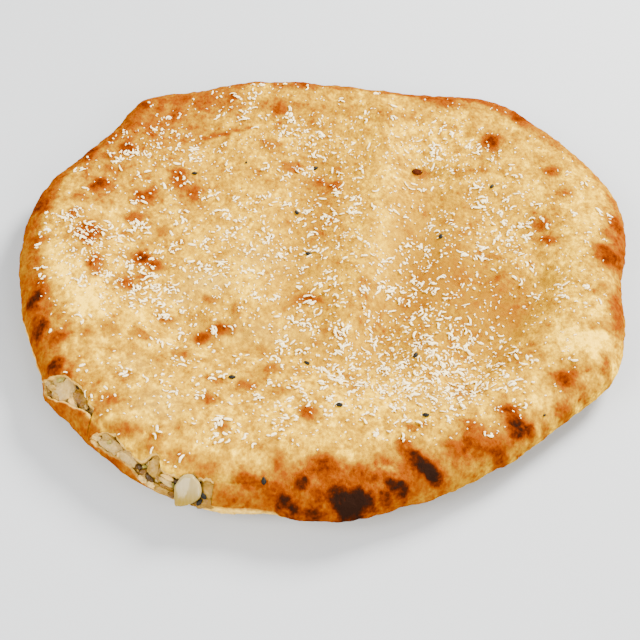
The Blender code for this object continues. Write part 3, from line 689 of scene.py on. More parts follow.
crustLook = {
    "toastColours": [  # level, colour
        (0, (0.86, 0.54, 0.025)), (0.14, (0.57, 0.33, 0)), (0.28, (0.385, 0.197, 0)),
        (0.4, (0.28, 0.134, 0)), (0.5, (0.226, 0.09, 0)), (0.58, (0.188, 0.056, 0)),
        (0.66, (0.16, 0.033, 0)), (0.75, (0.108, 0.0175, 0)), (0.84, (0.055, 0.0082, 0.001)),
        (0.92, (0.022, 0.005, 0.002)), (1, (0.011, 0.0046, 0.003)),
    ],
    "greyColour": (0.34, 0.22, 0.045), "crumbColour": (0.66, 0.43, 0.11), "crumbShade": (0.45, 0.26, 0.035),
    # Deep in the torn walls the crumb turns dark, as dough soaked by the filling and as painted shade of the
    # recess.
    "shadedSoakedCrumb": (0.15, 0.075, 0.008),
    "underColours": [
        (0.25, (0.6, 0.44, 0.23)), (0.45, (0.42, 0.26, 0.1)), (0.62, (0.25, 0.11, 0.015)),
        (0.8, (0.12, 0.04, 0.006)),
    ],
    "blotchStretch": (1, 0.78, 1),
    "layers": {  # size of the lumps, detail, roughness, the range that counts, its middle, change of level
        "broad": (9, 2, 0.5, 0.3, 0.7, 0.5, 0.2),
        "grain": (1.3, 2, 0.5, 0.3, 0.7, 0.5, 0.21),
        "patch": (5.4, 1.5, 0.5, 0.48, 0.76, 0.2, 0.17),
        "dapple": (2.5, 1, 0.4, 0.48, 0.78, 0.2, 0.15),
        "flour": (2.8, 2, 0.5, 0.48, 0.78, 0.2, -0.22),
    },
    "butterSmoothing": 0.6, "calmFrom": (0.38, 0.58), "calm": 0.45, "greyFade": 1.4, "greyGrain": (0.7, 0.5),
    "underPatches": (18, 4, 0.6, 0.38, 0.7), "underLevels": (0.46, 0.24), "underGrain": 0.1,
    "roughness": (0.16, 0.56), "pits": (0.9, 3, 0.65, 0.2, 0.8),
    "bumps": {"broad": (0.6, 0.5), "grain": (0.7, 0.36), "pits": (0.6, 0.2)},  # strength, height
}


def bakedCrust():
    look = crustLook
    made = Finish("bakedCrust")
    # The toast level also carries the painted light and shade of the crust's broad zones.
    toastLightShade, butter = made.level("toastLightShade"), made.level("butter")
    blotches = made.add("VectorMath", {0: made.place, 1: look["blotchStretch"]}, operation="MULTIPLY")
    layers, sway = {}, 0.0
    for name, (size, detail, rough, low, high, middle, amount) in look["layers"].items():
        layers[name] = made.noise(size, detail, rough, low, high, blotches)
        sway = made.math("MULTIPLY_ADD", made.math("SUBTRACT", layers[name], middle), amount, sway)
    grain = layers["grain"]
    smooth = made.math("MULTIPLY_ADD", butter, -look["butterSmoothing"], 1.0)
    smooth = made.math("MULTIPLY_ADD", made.spread(toastLightShade, *look["calmFrom"]), -look["calm"], smooth)
    level = made.math("MULTIPLY_ADD", sway, smooth, toastLightShade)
    colour = made.ramp(made.math("MAXIMUM", level, 0.0), look["toastColours"])
    cool = made.math("SUBTRACT", 1.0, made.math("MULTIPLY", toastLightShade, look["greyFade"]))
    grey = made.math("MULTIPLY", made.level("grey"), made.math("MULTIPLY_ADD", grain, *look["greyGrain"]))
    grey = made.math("MULTIPLY", grey, made.math("MAXIMUM", cool, 0.0))
    colour = made.mix(grey, colour, look["greyColour"])
    # The underside, toasted in patches where it lay on the oven's floor.
    under = made.math("MULTIPLY_ADD", made.noise(*look["underPatches"]), *look["underLevels"])
    under = made.math("MULTIPLY_ADD", grain, look["underGrain"], under)
    colour = made.mix(made.level("under"), colour, made.ramp(under, look["underColours"]))
    crumb = made.mix(grain, look["crumbColour"], look["crumbShade"])
    # Painted shade: crumb deep in the mouths' walls darkens, besides being soaked by the filling.
    crumb = made.mix(made.level("soakedAndShaded"), crumb, look["shadedSoakedCrumb"])
    colour = made.mix(made.level("crumb"), colour, crumb)
    rough = made.math("MULTIPLY_ADD", made.math("SUBTRACT", grain, 0.5), *look["roughness"])
    made.shade({"Base Color": colour, "Roughness": rough, "Specular IOR Level": 0.0})
    layers["pits"] = made.noise(*look["pits"])
    for name, (strength, distance) in look["bumps"].items():
        made.bump(layers[name], strength, distance)
    return made.material


fillingLook = {
    "tones": [  # level, colour: from browned bits and painted shade in the gaps through olive and gold to pale onion
        (0, (0.022, 0.009, 0.001)), (0.18, (0.075, 0.03, 0.001)), (0.34, (0.135, 0.056, 0.001)),
        (0.5, (0.195, 0.1, 0.006)), (0.66, (0.255, 0.148, 0.022)), (0.8, (0.29, 0.188, 0.055)),
        (0.9, (0.33, 0.225, 0.08)), (1, (0.56, 0.35, 0.085)),
    ],
    "layers": [(2.8, 2, 0.5, 0.17), (0.9, 3, 0.6, 0.14)],  # size, detail, roughness, change of level
    "surface": {"Roughness": 0.3, "Specular IOR Level": 0.16, "Subsurface Weight": 0.25,
                "Subsurface Radius": (1, 0.8, 0.3), "Subsurface Scale": 1.4 * mm},
    "bump": (0.6, 0.35),
}


def moistFilling():
    look = fillingLook
    made = Finish("moistFilling")
    level, layers = made.level("tone"), []
    for size, detail, rough, amount in look["layers"]:
        layers.append(made.noise(size, detail, rough))
        level = made.math("MULTIPLY_ADD", made.math("SUBTRACT", layers[-1], 0.5), amount, level)
    made.shade({"Base Color": made.ramp(level, look["tones"]), **look["surface"]})
    made.bump(made.mix(0.5, *layers), *look["bump"])
    return made.material


onionLook = {
    "colours": ((0.27, 0.205, 0.085), (0.185, 0.118, 0.006)),  # above and low down
    "lineColour": (0.52, 0.44, 0.22), "lineStrength": 0.05,
    "lines": {"Scale": 0.22, "Distortion": 5, "Detail": 2},
    "surface": {"Roughness": 0.18, "Specular IOR Level": 0.25, "Subsurface Weight": 0.3,
                "Subsurface Radius": (1, 0.9, 0.4), "Subsurface Scale": 2.2 * mm},
    "bump": (0.1, 0.05),
}


def onionFlesh():
    look = onionLook
    made = Finish("onionFlesh")
    values = {"Vector": made.place, **look["lines"]}
    lines = made.add("TexWave", values, "Fac", wave_type="BANDS", bands_direction="X")
    colour = made.mix(made.level("low"), *look["colours"])
    colour = made.mix(made.math("MULTIPLY", lines, look["lineStrength"]), colour, look["lineColour"])
    made.shade({"Base Color": colour, **look["surface"]})
    made.bump(lines, *look["bump"])
    return made.material


# Two colours mixed by noise, for small things.
def plainFinish(name, first, second, size, roughness, weight=0.0, bump=0.2, shine=0.25):
    made = Finish(name)
    mottle = made.noise(size, 3.0, 0.6)
    made.shade({"Base Color": made.mix(mottle, first, second), "Roughness": roughness,
                "Specular IOR Level": shine, "Subsurface Weight": weight, "Subsurface Scale": 0.8 * mm})
    made.bump(mottle, 0.5, bump)
    return made.material


def buildBread():
    shape = breadShape
    made = cushion("naanBread", shape["squares"], shape["rimRings"], outlineRadius, shape["rimWidth"],
                   topHeight, bottomHeight, shape["underShares"])
    points, normals = pointsOf(made), normalsOf(made)
    x, y, z = points.T
    angle, _, share = polarOf(x, y)
    high = smoothStep(-2.0, 1.0, z - rimMiddle(angle))
    foot = (share < shape["footShare"] + 0.02) & (z < 4.0)
    height = np.where(foot, 0.0, reliefAt(x, y, z, high))
    points = points + normals * height[:, None]
    points[:, 2] = np.maximum(points[:, 2], 0.0)
    setPoints(made, points)
    print("skin:", len(made.data.polygons), "faces")
    cutters = [pocket("pocket", 0.0, shape["pocketSquares"])]
    cutters += [mouthCutter(f"mouth{index}", mouth) for index, mouth in enumerate(openSeam["mouths"])]
    skinTree = BVHTree.FromObject(made, bpy.context.evaluated_depsgraph_get())
    applyBoolean(made, "DIFFERENCE", cutters)
    paintBread(made, skinTree)
    made.data.materials.clear()
    made.data.materials.append(bakedCrust())
    made.data.shade_smooth()
    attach(made, "root")
    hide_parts("bread")
    print("bread:", sum(len(face.vertices) - 2 for face in made.data.polygons), "triangles")
    return made


# Levels for the crust's material at each point of the bread.
def paintBread(made, skinTree):
    paint = crustPaint
    points = pointsOf(made)
    x, y, z = points.T
    angle, _, share = polarOf(x, y)
    middle = rimMiddle(angle)
    bare = sum(plateau(*zone, angle) for zone in paint["bareRim"])
    rimBelow = paint["rimBelow"]
    start, fade, paler = (rimBelow[key][0] + rimBelow[key][1] * bare for key in ("start", "fade", "paler"))
    start = middle + start
    below = smoothStep(start, start + fade, z) * smoothStep(*rimBelow["shares"], share)
    sway, size = paint["butterSway"]
    butter = paintSum(spotLevels(x, y, paint["butter"]), 3.0)
    butter += sway * noiseAt(x, y, 61.0, size) * (butter > 0.1)
    # The dents of the top lie as low as the rim's underside, and keep the colours of the top.
    onTop = smoothStep(*paint["topShares"], share) * smoothStep(*paint["topHeights"], z / topHeight(x, y))
    places = [Vector(point) for point in (points * mm).tolist()]
    depth = np.array([(place - skinTree.find_nearest(place)[0]).length for place in places]) / mm
    levels = {
        "toastLightShade": toastLightShadeAt(x, y) * (1 - paler * below),
        "butter": butter,
        "grey": paintSum(spotLevels(x, y, paint["grey"])),
        "under": smoothStep(*paint["underLevels"], z - middle) * (1 - onTop),
        "crumb": np.maximum(smoothStep(*paint["crumbDepths"], depth), paint["crumbBelow"] * below),
        # Deep in the torn walls the crumb is soaked and darkened as painted shade.
        "soakedAndShaded": smoothStep(*paint["shadedSoakedDepths"], depth),
    }
    for name, level in levels.items():
        giveLevels(made, name, level)


# The filling, and what shows of it in the mouths.
fillingShape = {
    "gap": 0.3, "pocketSquares": 60, "innerRoom": 2.2, "start": 0.25, "steps": 12,
    "unevenness": 1.2, "bumpAngle": 1.5, "fineUnevenness": 0.35,
    "tone": (0.42, 0.3, 3), "lowPaintedShade": (1.5, -0.5, 0.25),  # middle, sway, size; painted shade, how it darkens low down
    "dice": 30, "diceSize": (1, 2.2), "diceSides": ((0.9, 1.5), (0.6, 0.9), (0.4, 0.6)), "diceLean": 40,
    "diceUnevenness": 0.6, "diceTones": (0.25, 0.45, 0.55, 0.65, 0.8, 0.9),
    "herbs": 16, "brown": 12, "bitSize": (0.45, 1), "bitLength": (1, 1.9), "bitSides": (0.7, 0.25),
    "bitLean": 50, "bitUnevenness": 0.8,
    "petalForm": (0.4, 0.16), "leafForm": (0.5, 0.2),  # unevenness, bend
    "herbFinish": ("herbGreen", (0.1, 0.085, 0.008), (0.22, 0.16, 0.015), 1.2, 0.4, 0.1),
    "brownFinish": ("herbBrown", (0.035, 0.012, 0.004), (0.1, 0.036, 0.008), 1, 0.45),
    "mouthWeights": (1, 1.7), "leastRoom": 3, "roomShares": (0.05, 0.92),
    "fall": [
        (213, 2.2), (217.5, 3), (220.5, 6.6), (223, 8), (228, 7.6), (230, 3), (239, 3.6), (241, 5.2),
        (244, 4.4), (248, 5), (255, 4.6),
    ],
    "petals": [  # angle, back from the rim, above the rim's middle, half sizes, turn, lean, tone; the darkest tones are painted shade in the gaps
        (218.9, 6.9, 4.3, (6.8, 4.6, 1.6), -8, 28, 0.86), (222.6, 5.9, 3.4, (4.2, 1.5, 1.4), -16, 20, 0.97),
        (216.6, 3.6, 3.2, (2.4, 1.6, 1.2), 10, 20, 0.74), (219.6, 3.8, 3, (2.6, 1.3, 1.2), -10, 24, 0.62),
        (221.7, 10.4, 3.7, (2.7, 2.2, 1.8), 20, 0, 0.36), (223.2, 9.2, 2.9, (2.5, 2.1, 1.7), -30, 0, 0.3),
        (220.5, 11.9, 4.5, (2, 1.2, 1.2), -20, 0, 0.02), (224.7, 7.9, 2, (2.2, 1.4, 1.2), 0, 10, 0.12),
        (226.3, 7.7, 1.6, (1.8, 1, 0.9), 20, 10, 0.06), (230.9, 3, 3.4, (2.2, 1.3, 1.2), 10, 20, 0.96),
        (234.2, 3.9, 3.9, (5.8, 2.3, 1.5), 4, 24, 0.86), (237.9, 4, 4.1, (5, 2, 1.5), -4, 24, 0.82),
        (232.6, 5.4, 4.8, (3.2, 1.5, 1.1), 0, 12, 0.66), (240.5, 4, 3.2, (1.9, 1.3, 1.2), 0, 0, 0.08),
        (241.6, 3.6, 3, (1.9, 1.3, 1.2), 30, 0, 0.22), (242.8, 2.9, 2.8, (2.3, 1.2, 1.2), -20, 0, 0.05),
        (241.9, 1.5, 1.4, (2.2, 1.4, 1.2), 0, 10, 1), (243.6, 1.3, 1.2, (1.9, 1.2, 1.1), 0, 10, 0.95),
        (242.9, 6.2, 5.2, (2.6, 5, 1.1), 4, 34, 0.64), (245.9, 3.8, 3.8, (3.8, 1.2, 1), -12, 10, 0.88),
        (246.4, 2.3, 3, (3.4, 0.8, 0.8), 4, 10, 0.34), (245.6, 1.6, 1.2, (4.4, 1.4, 1.3), 0, 14, 0.55),
        (247.5, 1.5, 1.2, (2, 1.4, 1.3), 0, 14, 0.24), (245.9, 4.9, 4.8, (2.6, 0.9, 0.8), 0, 20, 1),
        (247.4, 4.9, 4.6, (1.4, 0.8, 0.8), 30, 20, 0.04), (252.8, 5.6, 4, (4.4, 3.8, 1.6), 0, 34, 0.56),
        (252.9, 2.4, 1.4, (4.2, 2.8, 1.4), 8, 30, 0.46),
    ],
    "leaves": [  # the same for flat bits of herb
        (217.7, 7.5, 6.7, (1.7, 1, 0.25), 60, 30, 0), (219.6, 12.2, 5.4, (1.6, 0.9, 0.5), 20, 10, 0),
        (224.6, 9.6, 3.2, (1.9, 0.8, 0.5), 70, 0, 0), (233.8, 3.7, 5.6, (0.9, 0.8, 0.25), 0, 20, 0),
        (241.2, 4.8, 4, (1.5, 0.7, 0.3), 40, 20, 0), (247.2, 3.5, 3.8, (1.3, 0.5, 0.3), 120, 20, 0),
    ],
}


def beadPlace(angle, back, above):
    x, y = planPoint(angle, float(outlineRadius(angle)) - back)
    return Vector((x, y, float(rimMiddle(angle)) + above))


def turned(angle, axis):
    return Matrix.Rotation(math.radians(angle), 3, axis)


def petalParts(draw, rows, unevenness, bend):
    parts, tones = [], []
    for angle, back, above, axes, turn, lean, tone in rows:
        matrix = turned(angle, "Z") @ turned(lean, "Y") @ turned(turn + 90, "Z")
        points, faces = roundLump(draw, Matrix.Diagonal((*axes, 1.0)), unevenness, 14)
        place = beadPlace(angle, back, above)
        bent = [Vector((x, y, z - bend * (x * x + y * y) / max(axes))) for x, y, z in points]
        parts.append(([tuple(place + matrix @ point) for point in bent], faces))
        tones.append(tone)
    return parts, tones


# The filling's section at a mouth, or nothing where there is no room.
def bulgeCorners(mouth, angle):
    shape = fillingShape
    edge, foot, crest, floor, lip = (float(value) for value in mouthLines(mouth, angle))
    gap = shape["gap"]
    inner = edge - shape["innerRoom"]
    rim = float(outlineRadius(angle))
    fall = float(np.interp(angle, *zip(*shape["fall"])))
    ceiling = float(topHeight(*planPoint(angle, rim - max(1.0, rim - edge)))) - fall
    if foot - gap - edge < 1.0 or ceiling - lip < 0.6:
        return None
    corners = [(inner, floor + gap), (foot - gap, floor + gap), (crest - gap, lip - 0.2)]
    for step in range(shape["steps"] + 1):
        share = step / shape["steps"]
        out = crest - 2 * gap + (inner - crest + 2 * gap) * share
        rise = math.sin(min(1.0, shape["start"] + share) * math.pi / 2)
        bump = shape["unevenness"] * noise.noise((angle / shape["bumpAngle"], 4.2 * share, 3.0))
        bump += shape["fineUnevenness"] * noise.noise((angle * 2.1, 9.0 * share, 5.0))
        corners.append((out, lip - 0.1 + (ceiling - lip + bump) * rise))
    return corners


def bulge(name, mouth):
    sections = []
    for angle in mouthAngles(mouth):
        corners = bulgeCorners(mouth, angle)
        if corners:
            sections.append(sectionPoints(angle, corners))
    return loft(name, sections)


def wayAt(polar, around):
    return Vector((math.sin(polar) * math.cos(around), math.sin(polar) * math.sin(around), math.cos(polar)))


# Points and faces of one rounded lump with its own bumps, placed by a matrix.
def roundLump(draw, matrix, unevenness, rings):
    points, faces = [], []
    start = draw.uniform(0, 100)
    across = 2 * rings
    for ring in range(rings + 1):
        for step in range(across if 0 < ring < rings else 1):
            way = wayAt(math.pi * ring / rings, 2 * math.pi * step / across)
            stretch = 1.0 + unevenness * noise.noise(way * 1.6 + Vector((start, 0, 0)))
            stretch += 0.4 * unevenness * noise.noise(way * 4.3 + Vector((0, start, 0)))
            points.append(tuple(matrix @ (way * stretch)))

    def index(ring, step):
        if ring == 0:
            return 0
        if ring == rings:
            return 1 + (rings - 1) * across
        return 1 + (ring - 1) * across + step % across

    for ring in range(rings):
        for step in range(across):
            corners = [(ring, step), (ring + 1, step), (ring + 1, step + 1), (ring, step + 1)]
            faces.append(list(dict.fromkeys(index(*corner) for corner in corners)))
    return points, faces


# One mesh from many small closed ones, and how many points each has.
def joinParts(name, parts):
    points, faces, counts = [], [], []
    for partPoints, partFaces in parts:
        start = len(points)
        points += partPoints
        faces += [[start + corner for corner in face] for face in partFaces]
        counts.append(len(partPoints))
    return makeMesh(name, points, faces), counts


# A rotation that turns freely about the upright and leans by up to an angle.
def drawTurn(draw, most):
    lean = turned(draw.uniform(-most, most), "X")
    lean = lean @ turned(draw.uniform(-most, most), "Y")
    return Matrix.Rotation(draw.uniform(0, 2 * math.pi), 3, "Z") @ lean


# Where a plumb line from above meets a surface, and the slope's normal there.
def dropOnto(surface, x, y):
    hit, normal, _, _ = surface.ray_cast(Vector((x * mm, y * mm, 1.0)), Vector((0, 0, -1)))
    return (hit / mm if hit else None), normal


# A random place on the filling that shows.
def placeInMouth(draw, surface, sink):
    shape = fillingShape
    while True:
        mouth = draw.choices(openSeam["mouths"], shape["mouthWeights"])[0]
        angle = draw.uniform(mouth["edge"][0][0] + 1.5, mouth["edge"][-1][0] - 1.0)
        edge, _, crest, _, _ = (float(value) for value in mouthLines(mouth, angle))
        if crest - edge < shape["leastRoom"]:
            continue
        radius = edge + (crest - edge) * draw.uniform(*shape["roomShares"])
        hit, normal = dropOnto(surface, *planPoint(angle, radius))
        if hit:
            return hit - normal * sink


# One small lump on the filling, turned at random.
def scatteredLump(draw, place, axes, lean, unevenness, rings):
    matrix = Matrix.Translation(place) @ drawTurn(draw, lean).to_4x4() @ Matrix.Diagonal((*axes, 1.0))
    return roundLump(draw, matrix, unevenness, rings)


def buildFilling():
    shape = fillingShape
    made = pocket("onionFilling", shape["gap"], shape["pocketSquares"])
    bulges = [bulge(f"bulge{index}", mouth) for index, mouth in enumerate(openSeam["mouths"])]
    applyBoolean(made, "UNION", bulges)
    x, y, z = pointsOf(made).T
    tone, sway, size = shape["tone"]
    # Painted shade: the filling darkens low down in the pocket and the mouths.
    high, low, paintedShade = shape["lowPaintedShade"]
    paintedShade = paintedShade * smoothStep(high, low, z - rimMiddle(polarOf(x, y)[0]))
    giveLevels(made, "tone", tone + sway * noiseAt(x, y, z, size) - paintedShade)
    finish = moistFilling()
    made.data.materials.clear()
    made.data.materials.append(finish)
    made.data.shade_smooth()
    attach(made, "root")
    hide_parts("filling")
    surface = BVHTree.FromObject(made, bpy.context.evaluated_depsgraph_get())
    draw = random.Random(21)
    parts, tones = petalParts(draw, shape["petals"], *shape["petalForm"])
    petals, counts = joinParts("onionPetals", parts)
    giveLevels(petals, "tone", np.repeat(tones, counts))
    finishSmall(petals, finish)
    petalSurface = BVHTree.FromObject(petals, bpy.context.evaluated_depsgraph_get())
    parts, tones = [], []
    for _ in range(shape["dice"]):
        place = placeInMouth(draw, surface, 0.1)
        size = draw.uniform(*shape["diceSize"])
        axes = [size * draw.uniform(*side) for side in shape["diceSides"]]
        parts.append(scatteredLump(draw, place, axes, shape["diceLean"], shape["diceUnevenness"], 9))
        tones.append(draw.choice(shape["diceTones"]))
    dice, counts = joinParts("onionDice", parts)
    giveLevels(dice, "tone", np.repeat(tones, counts))
    finishSmall(dice, finish)
    herbGreen, herbBrown = plainFinish(*shape["herbFinish"]), plainFinish(*shape["brownFinish"])
    leaves, _ = petalParts(draw, shape["leaves"], *shape["leafForm"])
    for name, count, finish, parts in (("herbBits", shape["herbs"], herbGreen, leaves),
                                       ("brownBits", shape["brown"], herbBrown, [])):
        for _ in range(count):
            place = placeInMouth(draw, surface, -0.3)
            size = draw.uniform(*shape["bitSize"])
            axes = [size * side for side in (draw.uniform(*shape["bitLength"]), *shape["bitSides"])]
            parts.append(scatteredLump(draw, place, axes, shape["bitLean"], shape["bitUnevenness"], 6))
        bits, _ = joinParts(name, parts)
        finishSmall(bits, finish)
    print("filling:", len(made.data.polygons), "faces;", len(dice.data.polygons), "on the dice")
    return petalSurface


def finishSmall(made, finish):
    made.data.materials.append(finish)
    made.data.shade_smooth()
    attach(made, "root")


onionShape = {
    "angle": 249.9, "back": 2.6, "above": 4.2, "size": (5, 10.4, 12.6), "tilt": -46,
    "ridge": 0.004, "unevenness": 0.05, "flatter": 0.22, "drawnIn": 0.42, "bend": 0.1, "footAside": 0.15,
    "lowFrom": 3.6, "lowTo": -2.2, "rings": 36, "across": 60,
}


def buildOnionSlice():
    shape = onionShape
    rings, across = shape["rings"], shape["across"]
    points = []
    for ring in range(rings + 1):
        for step in range(across):
            way = wayAt(math.pi * ring / rings, 2 * math.pi * step / across)
            low = max(0.0, -way.z)
            bumps = shape["ridge"] * math.sin(way.y * 11.0 + 2.0 * way.z)
            side = way * (0.5 + (bumps + shape["unevenness"] * noise.noise(way * 1.7)))
            side.x *= 1.0 - shape["flatter"] * max(0.0, way.x)
            side.y *= 1.0 - shape["drawnIn"] * low
            side.y -= shape["footAside"] * low * low
            side.x += shape["bend"] * low
            points.append(side)
    centre = beadPlace(shape["angle"], shape["back"], shape["above"])
    turn = (turned(shape["angle"], "Z") @ turned(shape["tilt"], "Y")).to_4x4()
    matrix = Matrix.Translation(centre) @ turn @ Matrix.Diagonal((*shape["size"], 1.0))
    made = makeMesh("onionSlice", [tuple(matrix @ point) for point in points], ringFaces(rings + 1, across))
    weld(made)
    heights = pointsOf(made)[:, 2]
    giveLevels(made, "low", smoothStep(centre.z + shape["lowFrom"], centre.z + shape["lowTo"], heights))
    made.data.materials.append(onionFlesh())
    made.data.shade_smooth()
    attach(made, "root")
    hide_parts("onion_slice")


# Joins points that lie on each other, such as those at a pole.
def weld(made):
    modifier = made.modifiers.new("weld", "WELD")
    modifier.merge_threshold = 0.01 * mm
    depsgraph = bpy.context.evaluated_depsgraph_get()
    joined = bpy.data.meshes.new_from_object(made.evaluated_get(depsgraph))
    made.modifiers.clear()
    made.data = joined


coconut = {
    "shreds": 1900, "length": (1.2, 4), "width": (0.62, 1.1), "thick": (0.34, 0.56),
    "specks": 4200, "speckSize": (0.45, 1.15), "speckScale": (0.45, 0.75), "highest": 21.5, "steepest": 0.4,
    "curl": (1.3, 2.6), "rises": (0.05, 0.1, 0.2, 0.4, 0.6), "arch": 0.3, "roll": 0.7,
    "thinEnds": 0.45, "unevenness": (0.75, 1.15), "driftSpread": 0.85, "speckSpread": 1.4,
    "finish": ("dryCoconut", (0.9, 0.74, 0.41), (0.95, 0.82, 0.52), 1.5, 0.6, 0, 0.1),
    "drifts": [  # x, y, half width, weight
        (47, -60, 12, 6), (37, -45, 9, 3), (26, -59, 9, 3), (62, -46, 9, 4), (63, -63, 9, 4),
        (10, -64, 10, 3), (-8, -74, 10, 2), (26, -75, 9, 2), (39, -74, 9, 3), (-105, -4, 8, 3),
        (-90, -22, 10, 6), (-112, 7, 8, 3), (-71, 66, 9, 4), (-17, 84, 8, 4), (-8, 73, 8, 3), (11, 77, 9, 2),
        (42, 82, 9, 4), (60, 78, 10, 3), (3, 45, 12, 3), (80, 42, 14, 6), (19, 1, 14, 5), (-41, -11, 12, 3),
        (-61, -28, 12, 4), (-10, -32, 12, 3), (9, -40, 12, 4), (-60, -82, 12, 2), (-34, -100, 12, 2),
        (51, -21, 12, 4), (102, -10, 10, 3), (-35, 19, 10, 2), (-12, 11, 12, 4), (60, 15, 16, 5),
        (-95, 60, 10, 3), (-75, 20, 14, 3), (-48, 96, 12, 3), (0, 0, 95, 120),
    ],
    "clump": (1, 5), "clumpSpread": 1.6, "reach": [(246, 0.94), (252, 0.8), (288, 0.82), (300, 0.94)],
}


# A short curled strip that lies on the crust, with its ends at different heights.
def shredStrip(draw, surface, x, y, length, scale=1.0):
    curlPerLength, mostCurl = coconut["curl"]
    turn, curl = draw.uniform(0, 2 * math.pi), draw.uniform(-1.0, 1.0) * min(mostCurl, curlPerLength * length)
    width, thick = (scale * draw.uniform(*coconut[side]) / 2 for side in ("width", "thick"))
    count = 3 if length < 1.0 else 4 if length < 1.8 else 6
    rise = draw.choice(coconut["rises"]) * draw.random()
    arch = draw.uniform(0.0, coconut["arch"])
    roll = draw.uniform(-coconut["roll"], coconut["roll"])
    points, faces = [], []
    for step in range(count):
        share = step / (count - 1)
        heading = turn + curl * (share - 0.5)
        hit, normal = dropOnto(surface, x, y)
        if not hit or normal.z < coconut["steepest"]:
            return None
        along = Vector((math.cos(heading), math.sin(heading), 0))
        flat = normal.cross(along).normalized()
        side = flat * math.cos(roll) + normal * math.sin(roll)
        up = normal * math.cos(roll) - flat * math.sin(roll)
        lift = thick + 0.02 + rise * share + arch * math.sin(math.pi * share) * min(1.0, length / 3)
        middle = hit + normal * lift
        taper = (1.0 - coconut["thinEnds"] * abs(2 * share - 1) ** 2) * draw.uniform(*coconut["unevenness"])
        for across, over in ((-1, -1), (1, -1), (1, 1), (-1, 1)):
            points.append(tuple(middle + side * across * width * taper + up * over * thick * taper))
        x += math.cos(heading) * length / (count - 1)
        y += math.sin(heading) * length / (count - 1)
    for step in range(count - 1):
        for side in range(4):
            other = (side + 1) % 4
            faces.append((4 * step + side, 4 * step + other, 4 * step + 4 + other, 4 * step + 4 + side))
    faces += [(3, 2, 1, 0), tuple(4 * (count - 1) + corner for corner in range(4))]
    return (points, faces) if max(point[2] for point in points) < coconut["highest"] else None


# Whether coconut may lie at a point, so that the toasted band keeps free of it.
def withinReach(x, y):
    angle, _, share = polarOf(x, y)
    return float(share) < np.interp(angle, *zip(*coconut["reach"]))


def buildCoconut(surface):
    draw = random.Random(8)
    weights = [drift[3] for drift in coconut["drifts"]]
    parts = []
    while len(parts) < coconut["shreds"]:
        driftX, driftY, spread, _ = draw.choices(coconut["drifts"], weights)[0]
        spread *= coconut["driftSpread"]
        centreX, centreY = draw.gauss(driftX, spread), draw.gauss(driftY, spread)
        for _ in range(draw.randint(*coconut["clump"])):
            x = centreX + draw.gauss(0, coconut["clumpSpread"])
            y = centreY + draw.gauss(0, coconut["clumpSpread"])
            if not withinReach(x, y):
                continue
            shortest, longest = coconut["length"]
            strip = shredStrip(draw, surface, x, y, shortest + (longest - shortest) * draw.random() ** 2.0)
            if strip:
                parts.append(strip)
    while len(parts) < coconut["shreds"] + coconut["specks"]:
        driftX, driftY, spread, _ = draw.choices(coconut["drifts"], weights)[0]
        spread *= coconut["speckSpread"]
        x, y = draw.gauss(driftX, spread), draw.gauss(driftY, spread)
        if withinReach(x, y):
            length, scale = draw.uniform(*coconut["speckSize"]), draw.uniform(*coconut["speckScale"])
            strip = shredStrip(draw, surface, x, y, length, scale)
            if strip:
                parts.append(strip)
    made, _ = joinParts("coconutShreds", parts)
    finishSmall(made, plainFinish(*coconut["finish"]))
    print("coconut:", len(parts), "shreds and crumbs")


seeds = {
    "size": (1.5, 0.88, 0.74),
    "places": [
        (-64, 52), (-41, 63), (-8, 66), (75, 57), (51, 25), (-15, 34), (-8, 8), (-5, -54), (9, -78),
        (42, -83), (39, -49), (-34, -66), (88.5, -77), (-17, -117),
    ],
    "turns": [20, 70, 40, 60, 80, 120, 10, 150, 165, 160, 60, 15, 40, 100],
    "tiny": ((-41, 63), (88.5, -77)), "tinyScale": 0.55, "scale": (0.9, 1.05),
    "roundness": 0.16, "pinch": 0.35, "seedLift": 0.45, "seamLift": 0.5,
    "inSeam": [(252.6, 2.9, 4, 110), (252.2, 0.9, 2.4, 25)],  # angle, in from the rim, above its middle, turn
    "finish": ("blackSeed", (0.004, 0.004, 0.005), (0.012, 0.011, 0.01), 0.5, 0.5, 0, 0.2, 0.1),
    "raisin": (40.5, 68.4), "raisinTurn": 15, "raisinSize": (2.9, 1.7, 0.8), "raisinLift": 0.2,
    "raisinFinish": ("driedRaisin", (0.02, 0.004, 0.001), (0.06, 0.012, 0.004), 1, 0.9, 0, 0.2, 0.02),
}


def seedPart(draw, place, normal, turn, size):
    along = turned(turn, "Z") @ Vector((1, 0, 0))
    along = (along - normal * along.dot(normal)).normalized()
    axes = Matrix((along, normal.cross(along), normal)).transposed()
    points, faces = roundLump(draw, Matrix.Identity(4), seeds["roundness"], 10)
    shaped = []
    for x, y, z in points:
        pinch = 1.0 - seeds["pinch"] * max(0.0, x)
        shaped.append(Vector((x * size[0], y * size[1] * pinch, z * size[2] * pinch)))
    return [tuple(place + axes @ point) for point in shaped], faces


def buildSeeds(surface, petalSurface):
    draw = random.Random(4)
    parts = []
    for (x, y), turn in zip(seeds["places"], seeds["turns"]):
        hit, normal = dropOnto(surface, x, y)
        scale = seeds["tinyScale"] if (x, y) in seeds["tiny"] else draw.uniform(*seeds["scale"])
        size = [side * scale for side in seeds["size"]]
        parts.append(seedPart(draw, hit + normal * size[2] * seeds["seedLift"], normal, turn, size))
    for angle, back, above, turn in seeds["inSeam"]:
        hit, normal, _, _ = petalSurface.find_nearest(beadPlace(angle, back, above) * mm)
        parts.append(seedPart(draw, hit / mm + normal * seeds["seamLift"], normal, turn, seeds["size"]))
    made, _ = joinParts("nigellaSeeds", parts)
    finishSmall(made, plainFinish(*seeds["finish"]))
    hit, normal = dropOnto(surface, *seeds["raisin"])
    place = hit + normal * seeds["raisinLift"]
    part = seedPart(draw, place, normal, seeds["raisinTurn"], seeds["raisinSize"])
    raisin, _ = joinParts("raisinPiece", [part])
    finishSmall(raisin, plainFinish(*seeds["raisinFinish"]))
    print("seeds:", len(parts))


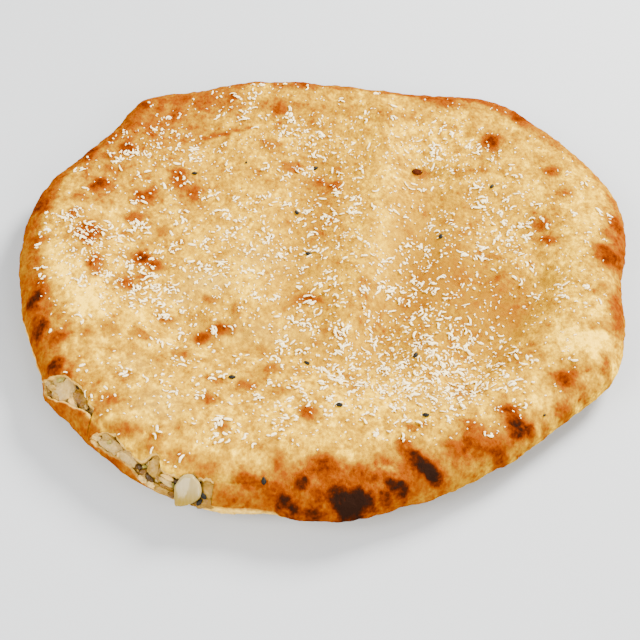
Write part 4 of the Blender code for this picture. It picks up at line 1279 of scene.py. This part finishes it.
studio = {
    "cameraPlace": (-0.84, -339.6, 361.48), "lookAt": (-0.84, -26.94, 6), "roll": 4.1, "fieldOfView": 32,
    "lights": [  # name, place in metres, energy, size
        ("windowBehind", (0.7, 0.8, 0.8), 88, 0.5), ("softFill", (-0.9, -0.6, 0.8), 42, 0.9),
        ("rightFill", (0.75, -0.85, 0.55), 33, 0.9),
    ],
    "lightColour": (1, 0.95, 0.8), "skyColour": (1, 0.97, 0.86), "skyStrength": 1, "floorReach": 3000,
    "floorFinish": ("paleFloor", (0.37, 0.395, 0.47), (0.38, 0.405, 0.48), 400, 0.7, 0, 0),
}


def buildStudio():
    scene = bpy.context.scene
    camera = bpy.data.objects.new("photoCamera", bpy.data.cameras.new("photoCamera"))
    scene.collection.objects.link(camera)
    place, aim = Vector(studio["cameraPlace"]) * mm, Vector(studio["lookAt"]) * mm
    camera.location = place
    camera.rotation_mode = "QUATERNION"
    roll = turned(studio["roll"], "Z").to_quaternion()
    camera.rotation_quaternion = (aim - place).to_track_quat("-Z", "Y") @ roll
    camera.data.angle = math.radians(studio["fieldOfView"])
    camera.data.clip_start = 0.01
    scene.camera = camera
    for name, place, energy, size in studio["lights"]:
        light = bpy.data.lights.new(name, "AREA")
        light.shape, light.size, light.energy, light.color = "DISK", size, energy, studio["lightColour"]
        lamp = bpy.data.objects.new(name, light)
        scene.collection.objects.link(lamp)
        lamp.location = place
        lamp.rotation_mode = "QUATERNION"
        lamp.rotation_quaternion = (-Vector(place)).to_track_quat("-Z", "Y")
    world = bpy.data.worlds.new("paleSky")
    world.use_nodes = True
    sky = world.node_tree.nodes["Background"].inputs
    sky["Color"].default_value = (*studio["skyColour"], 1.0)
    sky["Strength"].default_value = studio["skyStrength"]
    scene.world = world
    reach = studio["floorReach"]
    corners = [(x * reach, y * reach, 0) for x, y in ((-1, -1), (1, -1), (1, 1), (-1, 1))]
    floor = makeMesh("studioFloor", corners, [(0, 1, 2, 3)])
    floor.data.materials.append(plainFinish(*studio["floorFinish"]))


buildStudio()
bread = buildBread()
petalSurface = buildFilling()
buildOnionSlice()
topSurface = BVHTree.FromObject(bread, bpy.context.evaluated_depsgraph_get())
buildCoconut(topSurface)
buildSeeds(topSurface, petalSurface)
